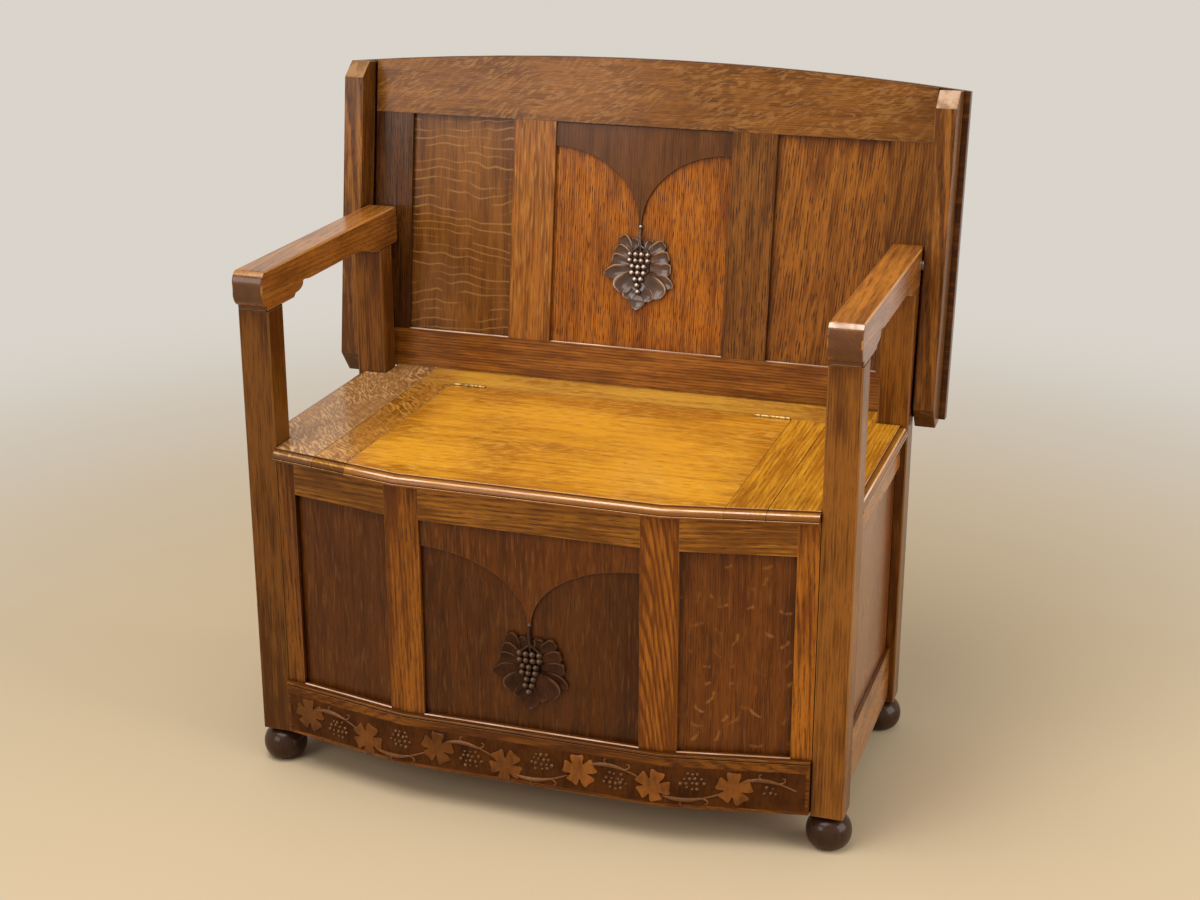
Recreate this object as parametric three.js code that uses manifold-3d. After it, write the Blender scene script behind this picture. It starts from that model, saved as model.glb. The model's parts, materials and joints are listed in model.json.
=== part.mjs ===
// Monk's bench in oak: a box settle whose back tips forward over the arms and slides to become a table.
// Millimetres: facing its front, +X is to the right, the front faces -Y and +Z is up.
import * as THREE from 'three';
import { mergeVertices } from 'three/addons/utils/BufferGeometryUtils.js';
import Module from 'manifold-3d';

const wasm = await Module();
wasm.setup();

// Clearances
const FIT = 0.3; // between a piece and the housing cut for it
const RUN = 0.4; // round a pin that turns or slides
const PAST = 1; // how far a cutter runs past the face it enters
const BEYOND = 500; // a cutter's reach where it clears the whole bench

// Overall
const OVER_ARMS = 850; // width over the outer faces of the arms
const SEAT_TOP = 483.5;
const ARM_TOP = 731;

// Posts and feet
const POST_WIDTH = 45;
const FRONT_POST_DEPTH = 44;
const REAR_POST_DEPTH = 40;
const REAR_POST_FRONT = 363; // behind the front post's face
const POST_ARRIS = 1.5;
const FOOT_HEIGHT = 50;
const FOOT_RADIUS = 31;
const FOOT_PAD_RADIUS = 17;
const FOOT_NECK_RADIUS = 15;
const FOOT_NECK_HEIGHT = 5;
const FOOT_SPIGOT_RADIUS = 9;
const FOOT_SPIGOT_LENGTH = 16;
const FOOT_SIDES = 24;

// Arms
const ARM_DEPTH_AT_POST = 56;
const ARM_DEPTH_MIDDLE = 41;
const ARM_NOSE_REACH = 13.5; // in front of the front post
const ARM_NOSE_ROUND = 19; // from the top down to the nose's flat
const ARM_NOSE_FLAT = 10;
const ARM_NOSE_UNDERCUT = 20;
const ARM_END_BEHIND_PIVOT = 11;
const ARM_BRACKET_LENGTH = 36; // full-depth shoulder behind the front post
const ARM_BRACKET_STEP = 5; // nib between the bracket and its cove
const ARM_COVE_LENGTH = 24;
const ARM_COVE_NIB = 3; // small rise where the cove meets the middle
const ARM_COVE_FADE = 22;
const ARM_REAR_SWEEP = 78; // ogee in front of the rear post
const ARM_REAR_CHAMFER = 4;
const ARM_EDGE_ROUND = 2.5;
const ARM_TENON_HEIGHT = 26;
const ARM_TENON_THICK = 16;
const ARM_TENON_LONG = 24;

// Canted front: a flat middle and two splayed bays
const MIDDLE_PROUD = 40; // middle bay in front of the posts
const BREAK_X = 183; // where the front changes direction
const FRAME_THICK = 22;
const END_STILE_WIDTH = 28;
const BREAK_STILE_INSIDE = 29; // from the break towards the middle
const BREAK_STILE_OUTSIDE = 22;
const FRONT_TOP_RAIL_WIDTH = 48.5;
const PANEL_THICK = 8;
const PANEL_SETBACK = 8;
const PANEL_HOUSING = 6;
const FRONT_TENON_LENGTH = 14; // rail tenons in the stiles
const FRONT_TENON_LOW = 10; // above the rail's lower edge
const FRONT_TENON_HIGH = 6.5; // below the rail's upper edge
const STILE_TENON_LENGTH = 16; // stile tenons in the bottom rail
const STILE_TENON_SHOULDER = 8;

// Carved bottom rail
const BASE_RAIL_ABOVE_FOOT = 4;
const BASE_RAIL_WIDTH = 79;
const BASE_RAIL_PROUD = 8;
const BASE_ARRIS = 1.5;
const BASE_BEAD_RADIUS = 2.2;
const BASE_QUIRK = 0.4;
const BASE_TENON_LOW = 16; // clears the foot's spigot
const BASE_TENON_HIGH = 11;
const BASE_TENON_ROOT = 8;

// Sides and rear of the box
const SIDE_SETBACK = 9;
const SIDE_RAIL_THICK = 20;
const SIDE_RAIL_ABOVE_FOOT = 10;
const SIDE_BOTTOM_RAIL_WIDTH = 79;
const SIDE_TOP_RAIL_WIDTH = 46.5;
const SIDE_TENON_LENGTH = 14;
const SIDE_TENON_THICK = 8;
const TENON_SHOULDER = 8; // above and below a tenon
const REAR_TOP_RAIL_WIDTH = 63.5;
const BOTTOM_BOARD_THICK = 10;
const BOTTOM_BOARD_ABOVE_RAIL = 12; // above the side rail's lower edge
const BOTTOM_BOARD_HOUSING = 6;

// Seat
const SEAT_THICK = 15;
const SEAT_OVERHANG = 13; // in front of the frame
const SEAT_SIDE_OVERHANG = 1; // outside the posts
const LID_HALF_WIDTH = 314;
const CLAMP_WIDTH = 52;
const LID_BEFORE_POST = 23; // in front of the rear posts
const LID_GAP = 1;
const SEAT_JOINT = 0.6;
const SEAT_FILLET_INSET = 0.8;
const SEAT_FILLET_HEIGHT = 2.8;
const SEAT_GROOVE_INSET = 2.6;
const SEAT_GROOVE_HEIGHT = 3.6;
const SEAT_THUMB_INSET = 1.4;
const SEAT_THUMB_FOOT = 4.2;
const SEAT_THUMB_REACH = 8.8;
const SEAT_QUIRK_DEPTH = 2.4; // below the seat's surface
const SEAT_QUIRK_WIDTH = 2.2;
const SEAT_ARRIS = 0.6;
const CLAMP_TONGUE = 8; // the lid panel's ends run into their clamps
const CLAMP_TONGUE_THICK = 5;
const CLAMP_TONGUE_SHORT = 15; // short of the lid's rear edge

// Lid hinges
const HINGE_TO_CLAMP = 2; // between a hinge and the clamp's inner edge
const HINGE_LENGTH = 53;
const KNUCKLE_RADIUS = 3;
const HINGE_PIN_RADIUS = 1.3;
const LEAF_THICK = 1.1;
const LEAF_DROP = 12.5;
const HINGE_PIN_ABOVE_SEAT = 0.6;
const HINGE_SIDES = 16;
const KNUCKLE_SPLIT = [0, 0.3, 0.7, 1]; // share of the hinge's length
const KNUCKLE_EASE = 0.15; // each knuckle is shorter by this at both ends
const LEAF_EASE = 0.05; // behind a leaf in its recess
const LEAF_BELOW_PIN = 1.2;
const PIN_RIVET_INSET = 0.2;
const PIN_EASE = 0.2;

// Tip-over back
const LEAN_DEG = 7.5;
const PIVOT_BEHIND_POST = 12; // behind the rear post's back
const PIVOT_TO_FACE = 28; // square to the back's face
const TABLE_REST_GAP = 0.5; // left over the arms when the top is down
const PEG_RADIUS = 6;
const PEG_IN_ARM = 20;
const PEG_IN_BEARER = 14;
const COLLAR_RADIUS = 9;
const SLIDE_TRAVEL = 185;
const BACK_STAND_OFF = 4; // between the frame and the bearer at each side
const BACK_BELOW_PIVOT = 220;
const BACK_ABOVE_PIVOT = 244; // at the ends of the bow
const BACK_BOW = 19;
const BACK_FRAME_THICK = 12;
const BACK_BOTTOM_RAIL_WIDTH = 59;
const BACK_TOP_RAIL_WIDTH = 76.5; // at the ends of the bow
const BACK_STILE_WIDTH = 60;
const CENTRE_BAY_HALF = 134.5;
const MUNTIN_WIDTH = 66;
const BACK_PANEL_THICK = 5;
const BACK_TENON_LENGTH = 16;
const BACK_TENON_THICK = 4;
const BACK_TENON_SETBACK = 2.5; // behind the framed face
const TOP_BOARD_THICK = 16;
const TOP_BOARD_OVERHANG = 9; // outside the bearers
const TOP_BOARD_DROP = 3; // below the framed face
const TOP_BOARD_LIP = 1.5; // above the framed face
const BEARER_GAP = 3; // outside the arms
const BEARER_WIDTH = 30;
const BEARER_PROUD = 44; // in front of the back's face
const BEARER_BELOW_TOP = 2; // below the ends of the bow
const BEARER_BELOW_BACK = 11; // below the framed face
const BEARER_BEVEL = 24;
const BEARER_FOOT_EASE = 6; // the lower bevel is a little longer
const BEARER_HEEL_RISE = 4;
const BEARER_EDGE_ROUND = 1.5;

// Ornament
const SPANDREL_THICK = 4;
const FRONT_ARCH_BELOW_RAIL = 38;
const FRONT_ARCH_DROP = 95;
const BACK_ARCH_BELOW_RAIL = 35.5;
const BACK_ARCH_DROP = 107;
const STEM_HALF_WIDTH = 2.2;
const LEAF_RADIUS = 57;
const LEAF_THICK_CARVED = 6;
const LEAF_EDGE_ROUND = 2.5;
const LEAF_EDGE_INSET = 3;
const GRAPE_RADIUS = 4.9;
const GRAPE_PITCH = 9.3;
const GRAPE_ROW_SHARE = 0.87; // rows close up like stacked balls
const GRAPES_ABOVE_MIDDLE = 26;
const GRAPE_ROWS = [4, 4, 3, 3, 2, 2, 1];
const FRONT_LEAF_BELOW_STEM = 68;
const BACK_LEAF_BELOW_STEM = 72;

// Derived places
const outer = OVER_ARMS / 2;
const inner = outer - POST_WIDTH;
const seatBottom = SEAT_TOP - SEAT_THICK;
const postTop = ARM_TOP - ARM_DEPTH_AT_POST;
const rearPostBack = REAR_POST_FRONT + REAR_POST_DEPTH;
const bayStileFrom = BREAK_X - BREAK_STILE_INSIDE;
const bayStileTo = BREAK_X + BREAK_STILE_OUTSIDE;
const baseRailBottom = FOOT_HEIGHT + BASE_RAIL_ABOVE_FOOT;
const baseRailTop = baseRailBottom + BASE_RAIL_WIDTH;
const baseTenonFrom = baseRailBottom + BASE_TENON_LOW;
const baseTenonTo = baseRailTop - BASE_TENON_HIGH;
const railOpeningTop = seatBottom - FRONT_TOP_RAIL_WIDTH;
const frontTenonFrom = railOpeningTop + FRONT_TENON_LOW;
const frontTenonTo = seatBottom - FRONT_TENON_HIGH;
const sideRailFrom = FOOT_HEIGHT + SIDE_RAIL_ABOVE_FOOT;
const sideRailTo = sideRailFrom + SIDE_BOTTOM_RAIL_WIDTH;
const sideTopRailFrom = seatBottom - SIDE_TOP_RAIL_WIDTH;
const rearTopRailFrom = seatBottom - REAR_TOP_RAIL_WIDTH;
const floorFrom = sideRailFrom + BOTTOM_BOARD_ABOVE_RAIL;
const floorTop = floorFrom + BOTTOM_BOARD_THICK;
const frontArchSpring = railOpeningTop - FRONT_ARCH_BELOW_RAIL;
const frontLeafZ = frontArchSpring - FRONT_ARCH_DROP - FRONT_LEAF_BELOW_STEM;
const seatSideReach = outer + SEAT_SIDE_OVERHANG;
const lidRear = REAR_POST_FRONT - LID_BEFORE_POST;
const clampFrom = LID_HALF_WIDTH - CLAMP_WIDTH;
const hingeFrom = clampFrom - HINGE_TO_CLAMP - HINGE_LENGTH;

// The back's places are measured from its pivot, square to its face and up its face
const lean = THREE.MathUtils.degToRad(LEAN_DEG);
const pivotY = rearPostBack + PIVOT_BEHIND_POST;
const pivotZ = ARM_TOP + TABLE_REST_GAP - PIVOT_TO_FACE;
const armRearEnd = pivotY + ARM_END_BEHIND_PIVOT;
const bearerInner = outer + BEARER_GAP;
const bearerOuter = bearerInner + BEARER_WIDTH;
const bearerTop = BACK_ABOVE_PIVOT - BEARER_BELOW_TOP;
const bearerBottom = -BACK_BELOW_PIVOT - BEARER_BELOW_BACK;
const backHalf = bearerInner - BACK_STAND_OFF;
const backStileInner = backHalf - BACK_STILE_WIDTH;
const muntinTo = CENTRE_BAY_HALF + MUNTIN_WIDTH;
const backOpeningFrom = -BACK_BELOW_PIVOT + BACK_BOTTOM_RAIL_WIDTH;
const backOpeningTo = BACK_ABOVE_PIVOT - BACK_TOP_RAIL_WIDTH;
const topBoardHalf = bearerOuter + TOP_BOARD_OVERHANG;
const topBoardBelow = BACK_BELOW_PIVOT + TOP_BOARD_DROP;
const backArchSpring = backOpeningTo - BACK_ARCH_BELOW_RAIL;
const backLeafZ = backArchSpring - BACK_ARCH_DROP - BACK_LEAF_BELOW_STEM;
const seatFront = -MIDDLE_PROUD - SEAT_OVERHANG;
const faceYAt = (z) => pivotY + PIVOT_TO_FACE / Math.cos(lean) + (z - pivotZ) * Math.tan(lean);
const seatRear = faceYAt(SEAT_TOP) - FIT;

// Finishes
const finish = (color, roughness, metalness = 0) =>
  new THREE.MeshStandardMaterial({ color, roughness, metalness });
const goldenOak = () => finish('#a8690f', 0.3);
const frameOak = () => finish('#8a4f14', 0.35);
const darkOak = () => finish('#54290c', 0.35);
const carvedOak = () => finish('#3a1a0c', 0.28);
const brass = () => finish('#c9a050', 0.3, 1);
const iron = () => finish('#55524e', 0.4, 1);

// Solids and booleans
function toSolid(geometry) {
  const bare = geometry.clone();
  bare.deleteAttribute('normal');
  bare.deleteAttribute('uv');
  const welded = mergeVertices(bare, 1e-4);
  const triVerts = new Uint32Array(welded.index.array);
  const vertProperties = new Float32Array(welded.attributes.position.array);
  return new wasm.Manifold(new wasm.Mesh({ numProp: 3, vertProperties, triVerts }));
}

function toGeometry(solid) {
  const mesh = solid.getMesh();
  const geometry = new THREE.BufferGeometry();
  const positions = new Float32Array(mesh.numVert * 3);
  for (let i = 0; i < mesh.numVert; i += 1) {
    for (let axis = 0; axis < 3; axis += 1) {
      positions[3 * i + axis] = mesh.vertProperties[i * mesh.numProp + axis];
    }
  }
  geometry.setAttribute('position', new THREE.BufferAttribute(positions, 3));
  geometry.setIndex(Array.from(mesh.triVerts));
  geometry.computeVertexNormals();
  return geometry;
}

function cut(body, ...tools) {
  let solid = toSolid(body);
  for (const tool of tools) {
    solid = solid.subtract(toSolid(tool));
  }
  return toGeometry(solid);
}

function join(...bodies) {
  let solid = toSolid(bodies[0]);
  for (const body of bodies.slice(1)) {
    solid = solid.add(toSolid(body));
  }
  return toGeometry(solid);
}

function common(body, tool) {
  return toGeometry(toSolid(body).intersect(toSolid(tool)));
}

// Boxes and prisms, named by the plane in which their outline is drawn
function block(from, to) {
  const size = to.map((value, i) => Math.abs(value - from[i]));
  const centre = to.map((value, i) => (value + from[i]) / 2);
  return new THREE.BoxGeometry(...size).translate(...centre);
}

function outlineShape(points) {
  return new THREE.Shape(points.map(([a, b]) => new THREE.Vector2(a, b)));
}

function planPrism(points, fromZ, toZ) {
  const options = { depth: toZ - fromZ, bevelEnabled: false };
  const geometry = new THREE.ExtrudeGeometry(outlineShape(points), options);
  return geometry.translate(0, 0, fromZ);
}

const profileToSide = new THREE.Matrix4().makeBasis(
  new THREE.Vector3(0, 1, 0),
  new THREE.Vector3(0, 0, 1),
  new THREE.Vector3(1, 0, 0),
);
const profileToFront = new THREE.Matrix4().makeBasis(
  new THREE.Vector3(1, 0, 0),
  new THREE.Vector3(0, 0, 1),
  new THREE.Vector3(0, -1, 0),
);

// An outline of (y, z) drawn out along X; bevel rounds its two long edges
function sidePrism(points, fromX, toX, bevel = 0) {
  const options = { depth: Math.abs(toX - fromX) - 2 * bevel, bevelEnabled: bevel > 0 };
  if (bevel > 0) {
    const edge = { bevelThickness: bevel, bevelSize: bevel, bevelOffset: -bevel, bevelSegments: 2 };
    Object.assign(options, edge);
  }
  const geometry = new THREE.ExtrudeGeometry(outlineShape(points), options);
  return geometry.applyMatrix4(profileToSide).translate(Math.min(fromX, toX) + bevel, 0, 0);
}

// An outline of (x, z) drawn out along Y
function frontPrism(points, fromY, toY) {
  const options = { depth: toY - fromY, bevelEnabled: false };
  const geometry = new THREE.ExtrudeGeometry(outlineShape(points), options);
  return geometry.applyMatrix4(profileToFront).translate(0, toY, 0);
}

function barAlongX(radius, fromX, toX, y, z, sides = 20) {
  const length = Math.abs(toX - fromX);
  const bar = new THREE.CylinderGeometry(radius, radius, length, sides).rotateZ(Math.PI / 2);
  return bar.translate((fromX + toX) / 2, y, z);
}

// Points of an arc from one angle to another, both included
function arc(centreA, centreB, radiusA, radiusB, from, to, steps) {
  const points = [];
  for (let i = 0; i <= steps; i += 1) {
    const angle = from + ((to - from) * i) / steps;
    points.push([centreA + radiusA * Math.cos(angle), centreB + radiusB * Math.sin(angle)]);
  }
  return points;
}

// Points of a smooth S from one place to another
function ogee([fromA, fromB], [toA, toB], steps) {
  const points = [];
  for (let i = 0; i <= steps; i += 1) {
    const share = i / steps;
    const fall = (1 - Math.cos(Math.PI * share)) / 2;
    points.push([fromA + (toA - fromA) * share, fromB + (toB - fromB) * fall]);
  }
  return points;
}

// A stack of plan outlines at rising heights, skinned into one closed solid
function stackedOutlines(rings) {
  const count = rings[0].points.length;
  const positions = [];
  for (const ring of rings) {
    for (const [x, y] of ring.points) {
      positions.push(x, y, ring.z);
    }
  }
  const index = [];
  for (let level = 0; level < rings.length - 1; level += 1) {
    for (let i = 0; i < count; i += 1) {
      const a = level * count + i;
      const b = level * count + ((i + 1) % count);
      index.push(a, b, b + count, a, b + count, a + count);
    }
  }
  const capOf = (ring) => {
    const outline = ring.points.map(([x, y]) => new THREE.Vector2(x, y));
    return THREE.ShapeUtils.triangulateShape(outline, []);
  };
  for (const [a, b, c] of capOf(rings[0])) {
    index.push(a, c, b);
  }
  const top = (rings.length - 1) * count;
  for (const [a, b, c] of capOf(rings[rings.length - 1])) {
    index.push(top + a, top + b, top + c);
  }
  const geometry = new THREE.BufferGeometry();
  geometry.setAttribute('position', new THREE.BufferAttribute(new Float32Array(positions), 3));
  geometry.setIndex(index);
  return geometry;
}

// The canted front, as its face runs from the left post to the right post in plan
const baySlope = MIDDLE_PROUD / (inner - BREAK_X);
const bayAngle = Math.atan(baySlope);

// Where the front's face lies at x, moved outwards by `out`
function frontFaceY(x, out = 0) {
  const flat = -MIDDLE_PROUD - out;
  const splayed = (Math.abs(x) - inner) * baySlope - out / Math.cos(bayAngle);
  return Math.max(flat, splayed);
}

const breakAt = (out) => BREAK_X + out * Math.tan(bayAngle / 2);

// Plan outline of a slice of the front between two x values, from one offset to another
function frontSlice(fromX, toX, outFace, outBack) {
  const along = (out) => {
    const knots = [-breakAt(out), breakAt(out)].filter((x) => x > fromX && x < toX);
    return [fromX, ...knots, toX].map((x) => [x, frontFaceY(x, out)]);
  };
  return [...along(outFace), ...along(outBack).reverse()];
}

const bench = new THREE.Group();
const addTo = (group) => (name, geometry, material) => {
  const mesh = new THREE.Mesh(geometry, material);
  mesh.name = name;
  group.add(mesh);
  return mesh;
};
const add = addTo(bench);
const sides = [
  ['left', -1],
  ['right', 1],
];

// Turned bun foot, with the spigot that holds it in its post
function bunFoot(x, y) {
  const waist = FOOT_HEIGHT - FOOT_NECK_HEIGHT;
  const half = waist / 2;
  const swell = FOOT_RADIUS - FOOT_NECK_RADIUS;
  const bulge = arc(FOOT_NECK_RADIUS, half, swell, half, -Math.PI / 2, Math.PI / 2, 10);
  const profile = [
    [0, 0],
    [FOOT_PAD_RADIUS, 0],
    ...bulge.slice(1),
    [FOOT_NECK_RADIUS, FOOT_HEIGHT],
    [FOOT_SPIGOT_RADIUS, FOOT_HEIGHT],
    [FOOT_SPIGOT_RADIUS, FOOT_HEIGHT + FOOT_SPIGOT_LENGTH],
    [0, FOOT_HEIGHT + FOOT_SPIGOT_LENGTH],
  ];
  const points = profile.map(([r, z]) => new THREE.Vector2(r, z));
  const lathe = new THREE.LatheGeometry(points, FOOT_SIDES).rotateX(Math.PI / 2).translate(x, y, 0);
  return toGeometry(toSolid(lathe));
}

function spigotHole(x, y) {
  const radius = FOOT_SPIGOT_RADIUS + FIT;
  const depth = FOOT_SPIGOT_LENGTH + FIT;
  const hole = new THREE.CylinderGeometry(radius, radius, depth + PAST, FOOT_SIDES);
  return hole.rotateX(Math.PI / 2).translate(x, y, FOOT_HEIGHT + (depth - PAST) / 2);
}

// A square post with eased edges and a tenon that enters the arm
function post(x, fromY, depth) {
  const half = POST_WIDTH / 2;
  const toY = fromY + depth;
  const e = POST_ARRIS;
  const outline = [
    [x - half + e, fromY],
    [x + half - e, fromY],
    [x + half, fromY + e],
    [x + half, toY - e],
    [x + half - e, toY],
    [x - half + e, toY],
    [x - half, toY - e],
    [x - half, fromY + e],
  ];
  const middle = fromY + depth / 2;
  const shaft = planPrism(outline, FOOT_HEIGHT, postTop);
  return join(shaft, armTenon(x, middle, 0));
}

// The post's tenon, or the mortise for it when it is grown by a clearance
function armTenon(x, y, grow) {
  const halfX = ARM_TENON_THICK / 2 + grow;
  const halfY = ARM_TENON_LONG / 2 + grow;
  const top = postTop + ARM_TENON_HEIGHT + grow;
  return block([x - halfX, y - halfY, postTop - PAST], [x + halfX, y + halfY, top]);
}

const frontPostMiddle = FRONT_POST_DEPTH / 2;
const rearPostMiddle = REAR_POST_FRONT + REAR_POST_DEPTH / 2;

// Profile of the arm in (y, z): rounded nose, coved brackets at both posts, rear end turned about the pivot
function armProfile() {
  const underMiddle = ARM_TOP - ARM_DEPTH_MIDDLE;
  const noseCentre = ARM_TOP - ARM_NOSE_ROUND;
  const noseFoot = noseCentre - ARM_NOSE_FLAT;
  const shoulder = FRONT_POST_DEPTH + ARM_BRACKET_LENGTH;
  const cove = shoulder + ARM_BRACKET_STEP;
  const coveEnd = cove + ARM_COVE_LENGTH;
  const coveRise = underMiddle - postTop - ARM_BRACKET_STEP;
  const endRadius = PIVOT_TO_FACE - TABLE_REST_GAP;
  const endAngle = Math.acos((armRearEnd - pivotY) / endRadius);
  return [
    ...arc(0, noseCentre, ARM_NOSE_REACH, ARM_NOSE_ROUND, Math.PI / 2, Math.PI, 6),
    ...arc(0, noseFoot, ARM_NOSE_REACH, ARM_NOSE_UNDERCUT, Math.PI, 1.5 * Math.PI, 5),
    [0, postTop],
    [shoulder, postTop],
    [cove, postTop + ARM_BRACKET_STEP],
    ...arc(cove, underMiddle, ARM_COVE_LENGTH, coveRise, -Math.PI / 2, 0, 5).slice(1),
    [coveEnd, underMiddle + ARM_COVE_NIB],
    [coveEnd + ARM_COVE_FADE, underMiddle],
    ...ogee([REAR_POST_FRONT - ARM_REAR_SWEEP, underMiddle], [REAR_POST_FRONT, postTop], 5),
    [armRearEnd - ARM_REAR_CHAMFER, postTop],
    [armRearEnd, postTop + ARM_REAR_CHAMFER],
    ...arc(pivotY, pivotZ, endRadius, endRadius, endAngle, Math.PI / 2, 5),
  ];
}

function arm(side) {
  const centre = side * (inner + POST_WIDTH / 2);
  const body = sidePrism(armProfile(), centre - POST_WIDTH / 2, centre + POST_WIDTH / 2, ARM_EDGE_ROUND);
  const holeFrom = side * (outer - PEG_IN_ARM - FIT);
  const hole = barAlongX(PEG_RADIUS + RUN, holeFrom, side * (outer + PAST), pivotY, pivotZ);
  return cut(body, armTenon(centre, frontPostMiddle, FIT), armTenon(centre, rearPostMiddle, FIT), hole);
}

// Rails tenoned into a post: the tenon sits in the middle of the rail's thickness
function sideRail(side, fromZ, toZ) {
  const face = side * (outer - SIDE_SETBACK);
  const back = face - side * SIDE_RAIL_THICK;
  const middle = (face + back) / 2;
  const rail = block([face, FRONT_POST_DEPTH, fromZ], [back, REAR_POST_FRONT, toZ]);
  return join(rail, sideTenon(middle, fromZ, toZ, 0));
}

function sideTenon(middle, fromZ, toZ, grow) {
  const half = SIDE_TENON_THICK / 2 + grow;
  const low = fromZ + TENON_SHOULDER - grow;
  const high = toZ - TENON_SHOULDER + grow;
  const reach = SIDE_TENON_LENGTH + grow;
  const fromY = FRONT_POST_DEPTH - reach;
  return block([middle - half, fromY, low], [middle + half, REAR_POST_FRONT + reach, high]);
}

// Flat panel held in the grooves of its frame; `grow` makes the groove instead
function sidePanel(side, grow) {
  const middle = side * (outer - SIDE_SETBACK - SIDE_RAIL_THICK / 2);
  const half = PANEL_THICK / 2 + grow;
  const housing = PANEL_HOUSING + grow;
  return block(
    [middle - half, FRONT_POST_DEPTH - housing, sideRailTo - housing],
    [middle + half, REAR_POST_FRONT + housing, sideTopRailFrom + housing],
  );
}

// Panel of one bay of the front, set back from the frame's face
function bayPanel(fromX, toX, grow) {
  const face = -PANEL_SETBACK + grow;
  const back = -PANEL_SETBACK - PANEL_THICK - grow;
  const housing = PANEL_HOUSING + grow;
  const outline = frontSlice(fromX - housing, toX + housing, face, back);
  return planPrism(outline, baseRailTop - housing, railOpeningTop + housing);
}

const endStileFrom = inner - END_STILE_WIDTH;
const bays = [
  ['left', -endStileFrom, -bayStileTo],
  ['centre', -bayStileFrom, bayStileFrom],
  ['right', bayStileTo, endStileFrom],
];
const bayGrooves = bays.map(([, fromX, toX]) => bayPanel(fromX, toX, FIT));

// A joint of the front frame lies in the same plane as the panels
function frontTongue(fromX, toX, fromZ, toZ, grow) {
  const face = -PANEL_SETBACK + grow;
  const slice = frontSlice(fromX - grow, toX + grow, face, -PANEL_SETBACK - PANEL_THICK - grow);
  return planPrism(slice, fromZ - grow, toZ + grow);
}

const railTongue = ([, fromX, toX], grow) =>
  frontTongue(fromX - FRONT_TENON_LENGTH, toX + FRONT_TENON_LENGTH, frontTenonFrom, frontTenonTo, grow);
const railMortises = bays.map((bay) => railTongue(bay, FIT));

// Stiles of the front frame as [side, from, to], measured from the middle
const frontStiles = [
  ['end', endStileFrom, inner - FIT],
  ['break', bayStileFrom, bayStileTo],
];

function stileTongue(side, from, to, grow) {
  const ends = [side * (from + STILE_TENON_SHOULDER), side * (to - STILE_TENON_SHOULDER)];
  ends.sort((p, q) => p - q);
  return frontTongue(...ends, baseRailTop - STILE_TENON_LENGTH, baseRailTop + PAST, grow);
}

const stileMortises = sides.flatMap(([, side]) =>
  frontStiles.map(([, from, to]) => stileTongue(side, from, to, FIT)));

// The bottom rail's tenon enters the front post. Its root lies within the rail, which slopes away forwards.
function baseTenon(side, grow) {
  const ends = [side * (inner - BASE_TENON_ROOT), side * (inner + SIDE_TENON_LENGTH + grow)];
  const [fromX, toX] = ends.sort((p, q) => p - q);
  const half = SIDE_TENON_THICK / 2 + grow;
  const middle = FRAME_THICK / 2;
  return block([fromX, middle - half, baseTenonFrom - grow], [toX, middle + half, baseTenonTo + grow]);
}

// Outline of the box floor, let into the rails all round
function floorOutline(grow) {
  const sideEdge = outer - SIDE_SETBACK - SIDE_RAIL_THICK + BOTTOM_BOARD_HOUSING + grow;
  const rearEdge = rearPostBack - SIDE_SETBACK - SIDE_RAIL_THICK + BOTTOM_BOARD_HOUSING + grow;
  const frontOut = -FRAME_THICK + BOTTOM_BOARD_HOUSING + grow;
  const knot = breakAt(frontOut);
  const corner = inner - FIT;
  return [
    [-sideEdge, rearEdge],
    [-sideEdge, FRONT_POST_DEPTH + FIT],
    [-corner, FRONT_POST_DEPTH + FIT],
    [-corner, frontFaceY(corner, frontOut)],
    [-knot, frontFaceY(knot, frontOut)],
    [knot, frontFaceY(knot, frontOut)],
    [corner, frontFaceY(corner, frontOut)],
    [corner, FRONT_POST_DEPTH + FIT],
    [sideEdge, FRONT_POST_DEPTH + FIT],
    [sideEdge, rearEdge],
  ];
}

const floorGroove = () => planPrism(floorOutline(FIT), floorFrom - FIT, floorTop + FIT);

// Rear frame of the box: two rails and a panel between the rear posts
const rearFace = rearPostBack - SIDE_SETBACK;
const rearInner = rearFace - SIDE_RAIL_THICK;

function rearRail(fromZ, toZ) {
  return join(block([-inner, rearInner, fromZ], [inner, rearFace, toZ]), rearTenon(fromZ, toZ, 0));
}

function rearTenon(fromZ, toZ, grow) {
  const middle = (rearFace + rearInner) / 2;
  const half = SIDE_TENON_THICK / 2 + grow;
  const reach = inner + SIDE_TENON_LENGTH + grow;
  const low = fromZ + TENON_SHOULDER - grow;
  const high = toZ - TENON_SHOULDER + grow;
  return block([-reach, middle - half, low], [reach, middle + half, high]);
}

function rearPanel(grow) {
  const middle = (rearFace + rearInner) / 2;
  const half = PANEL_THICK / 2 + grow;
  const housing = PANEL_HOUSING + grow;
  return block(
    [-inner - housing, middle - half, sideRailTo - housing],
    [inner + housing, middle + half, rearTopRailFrom + housing],
  );
}

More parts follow.
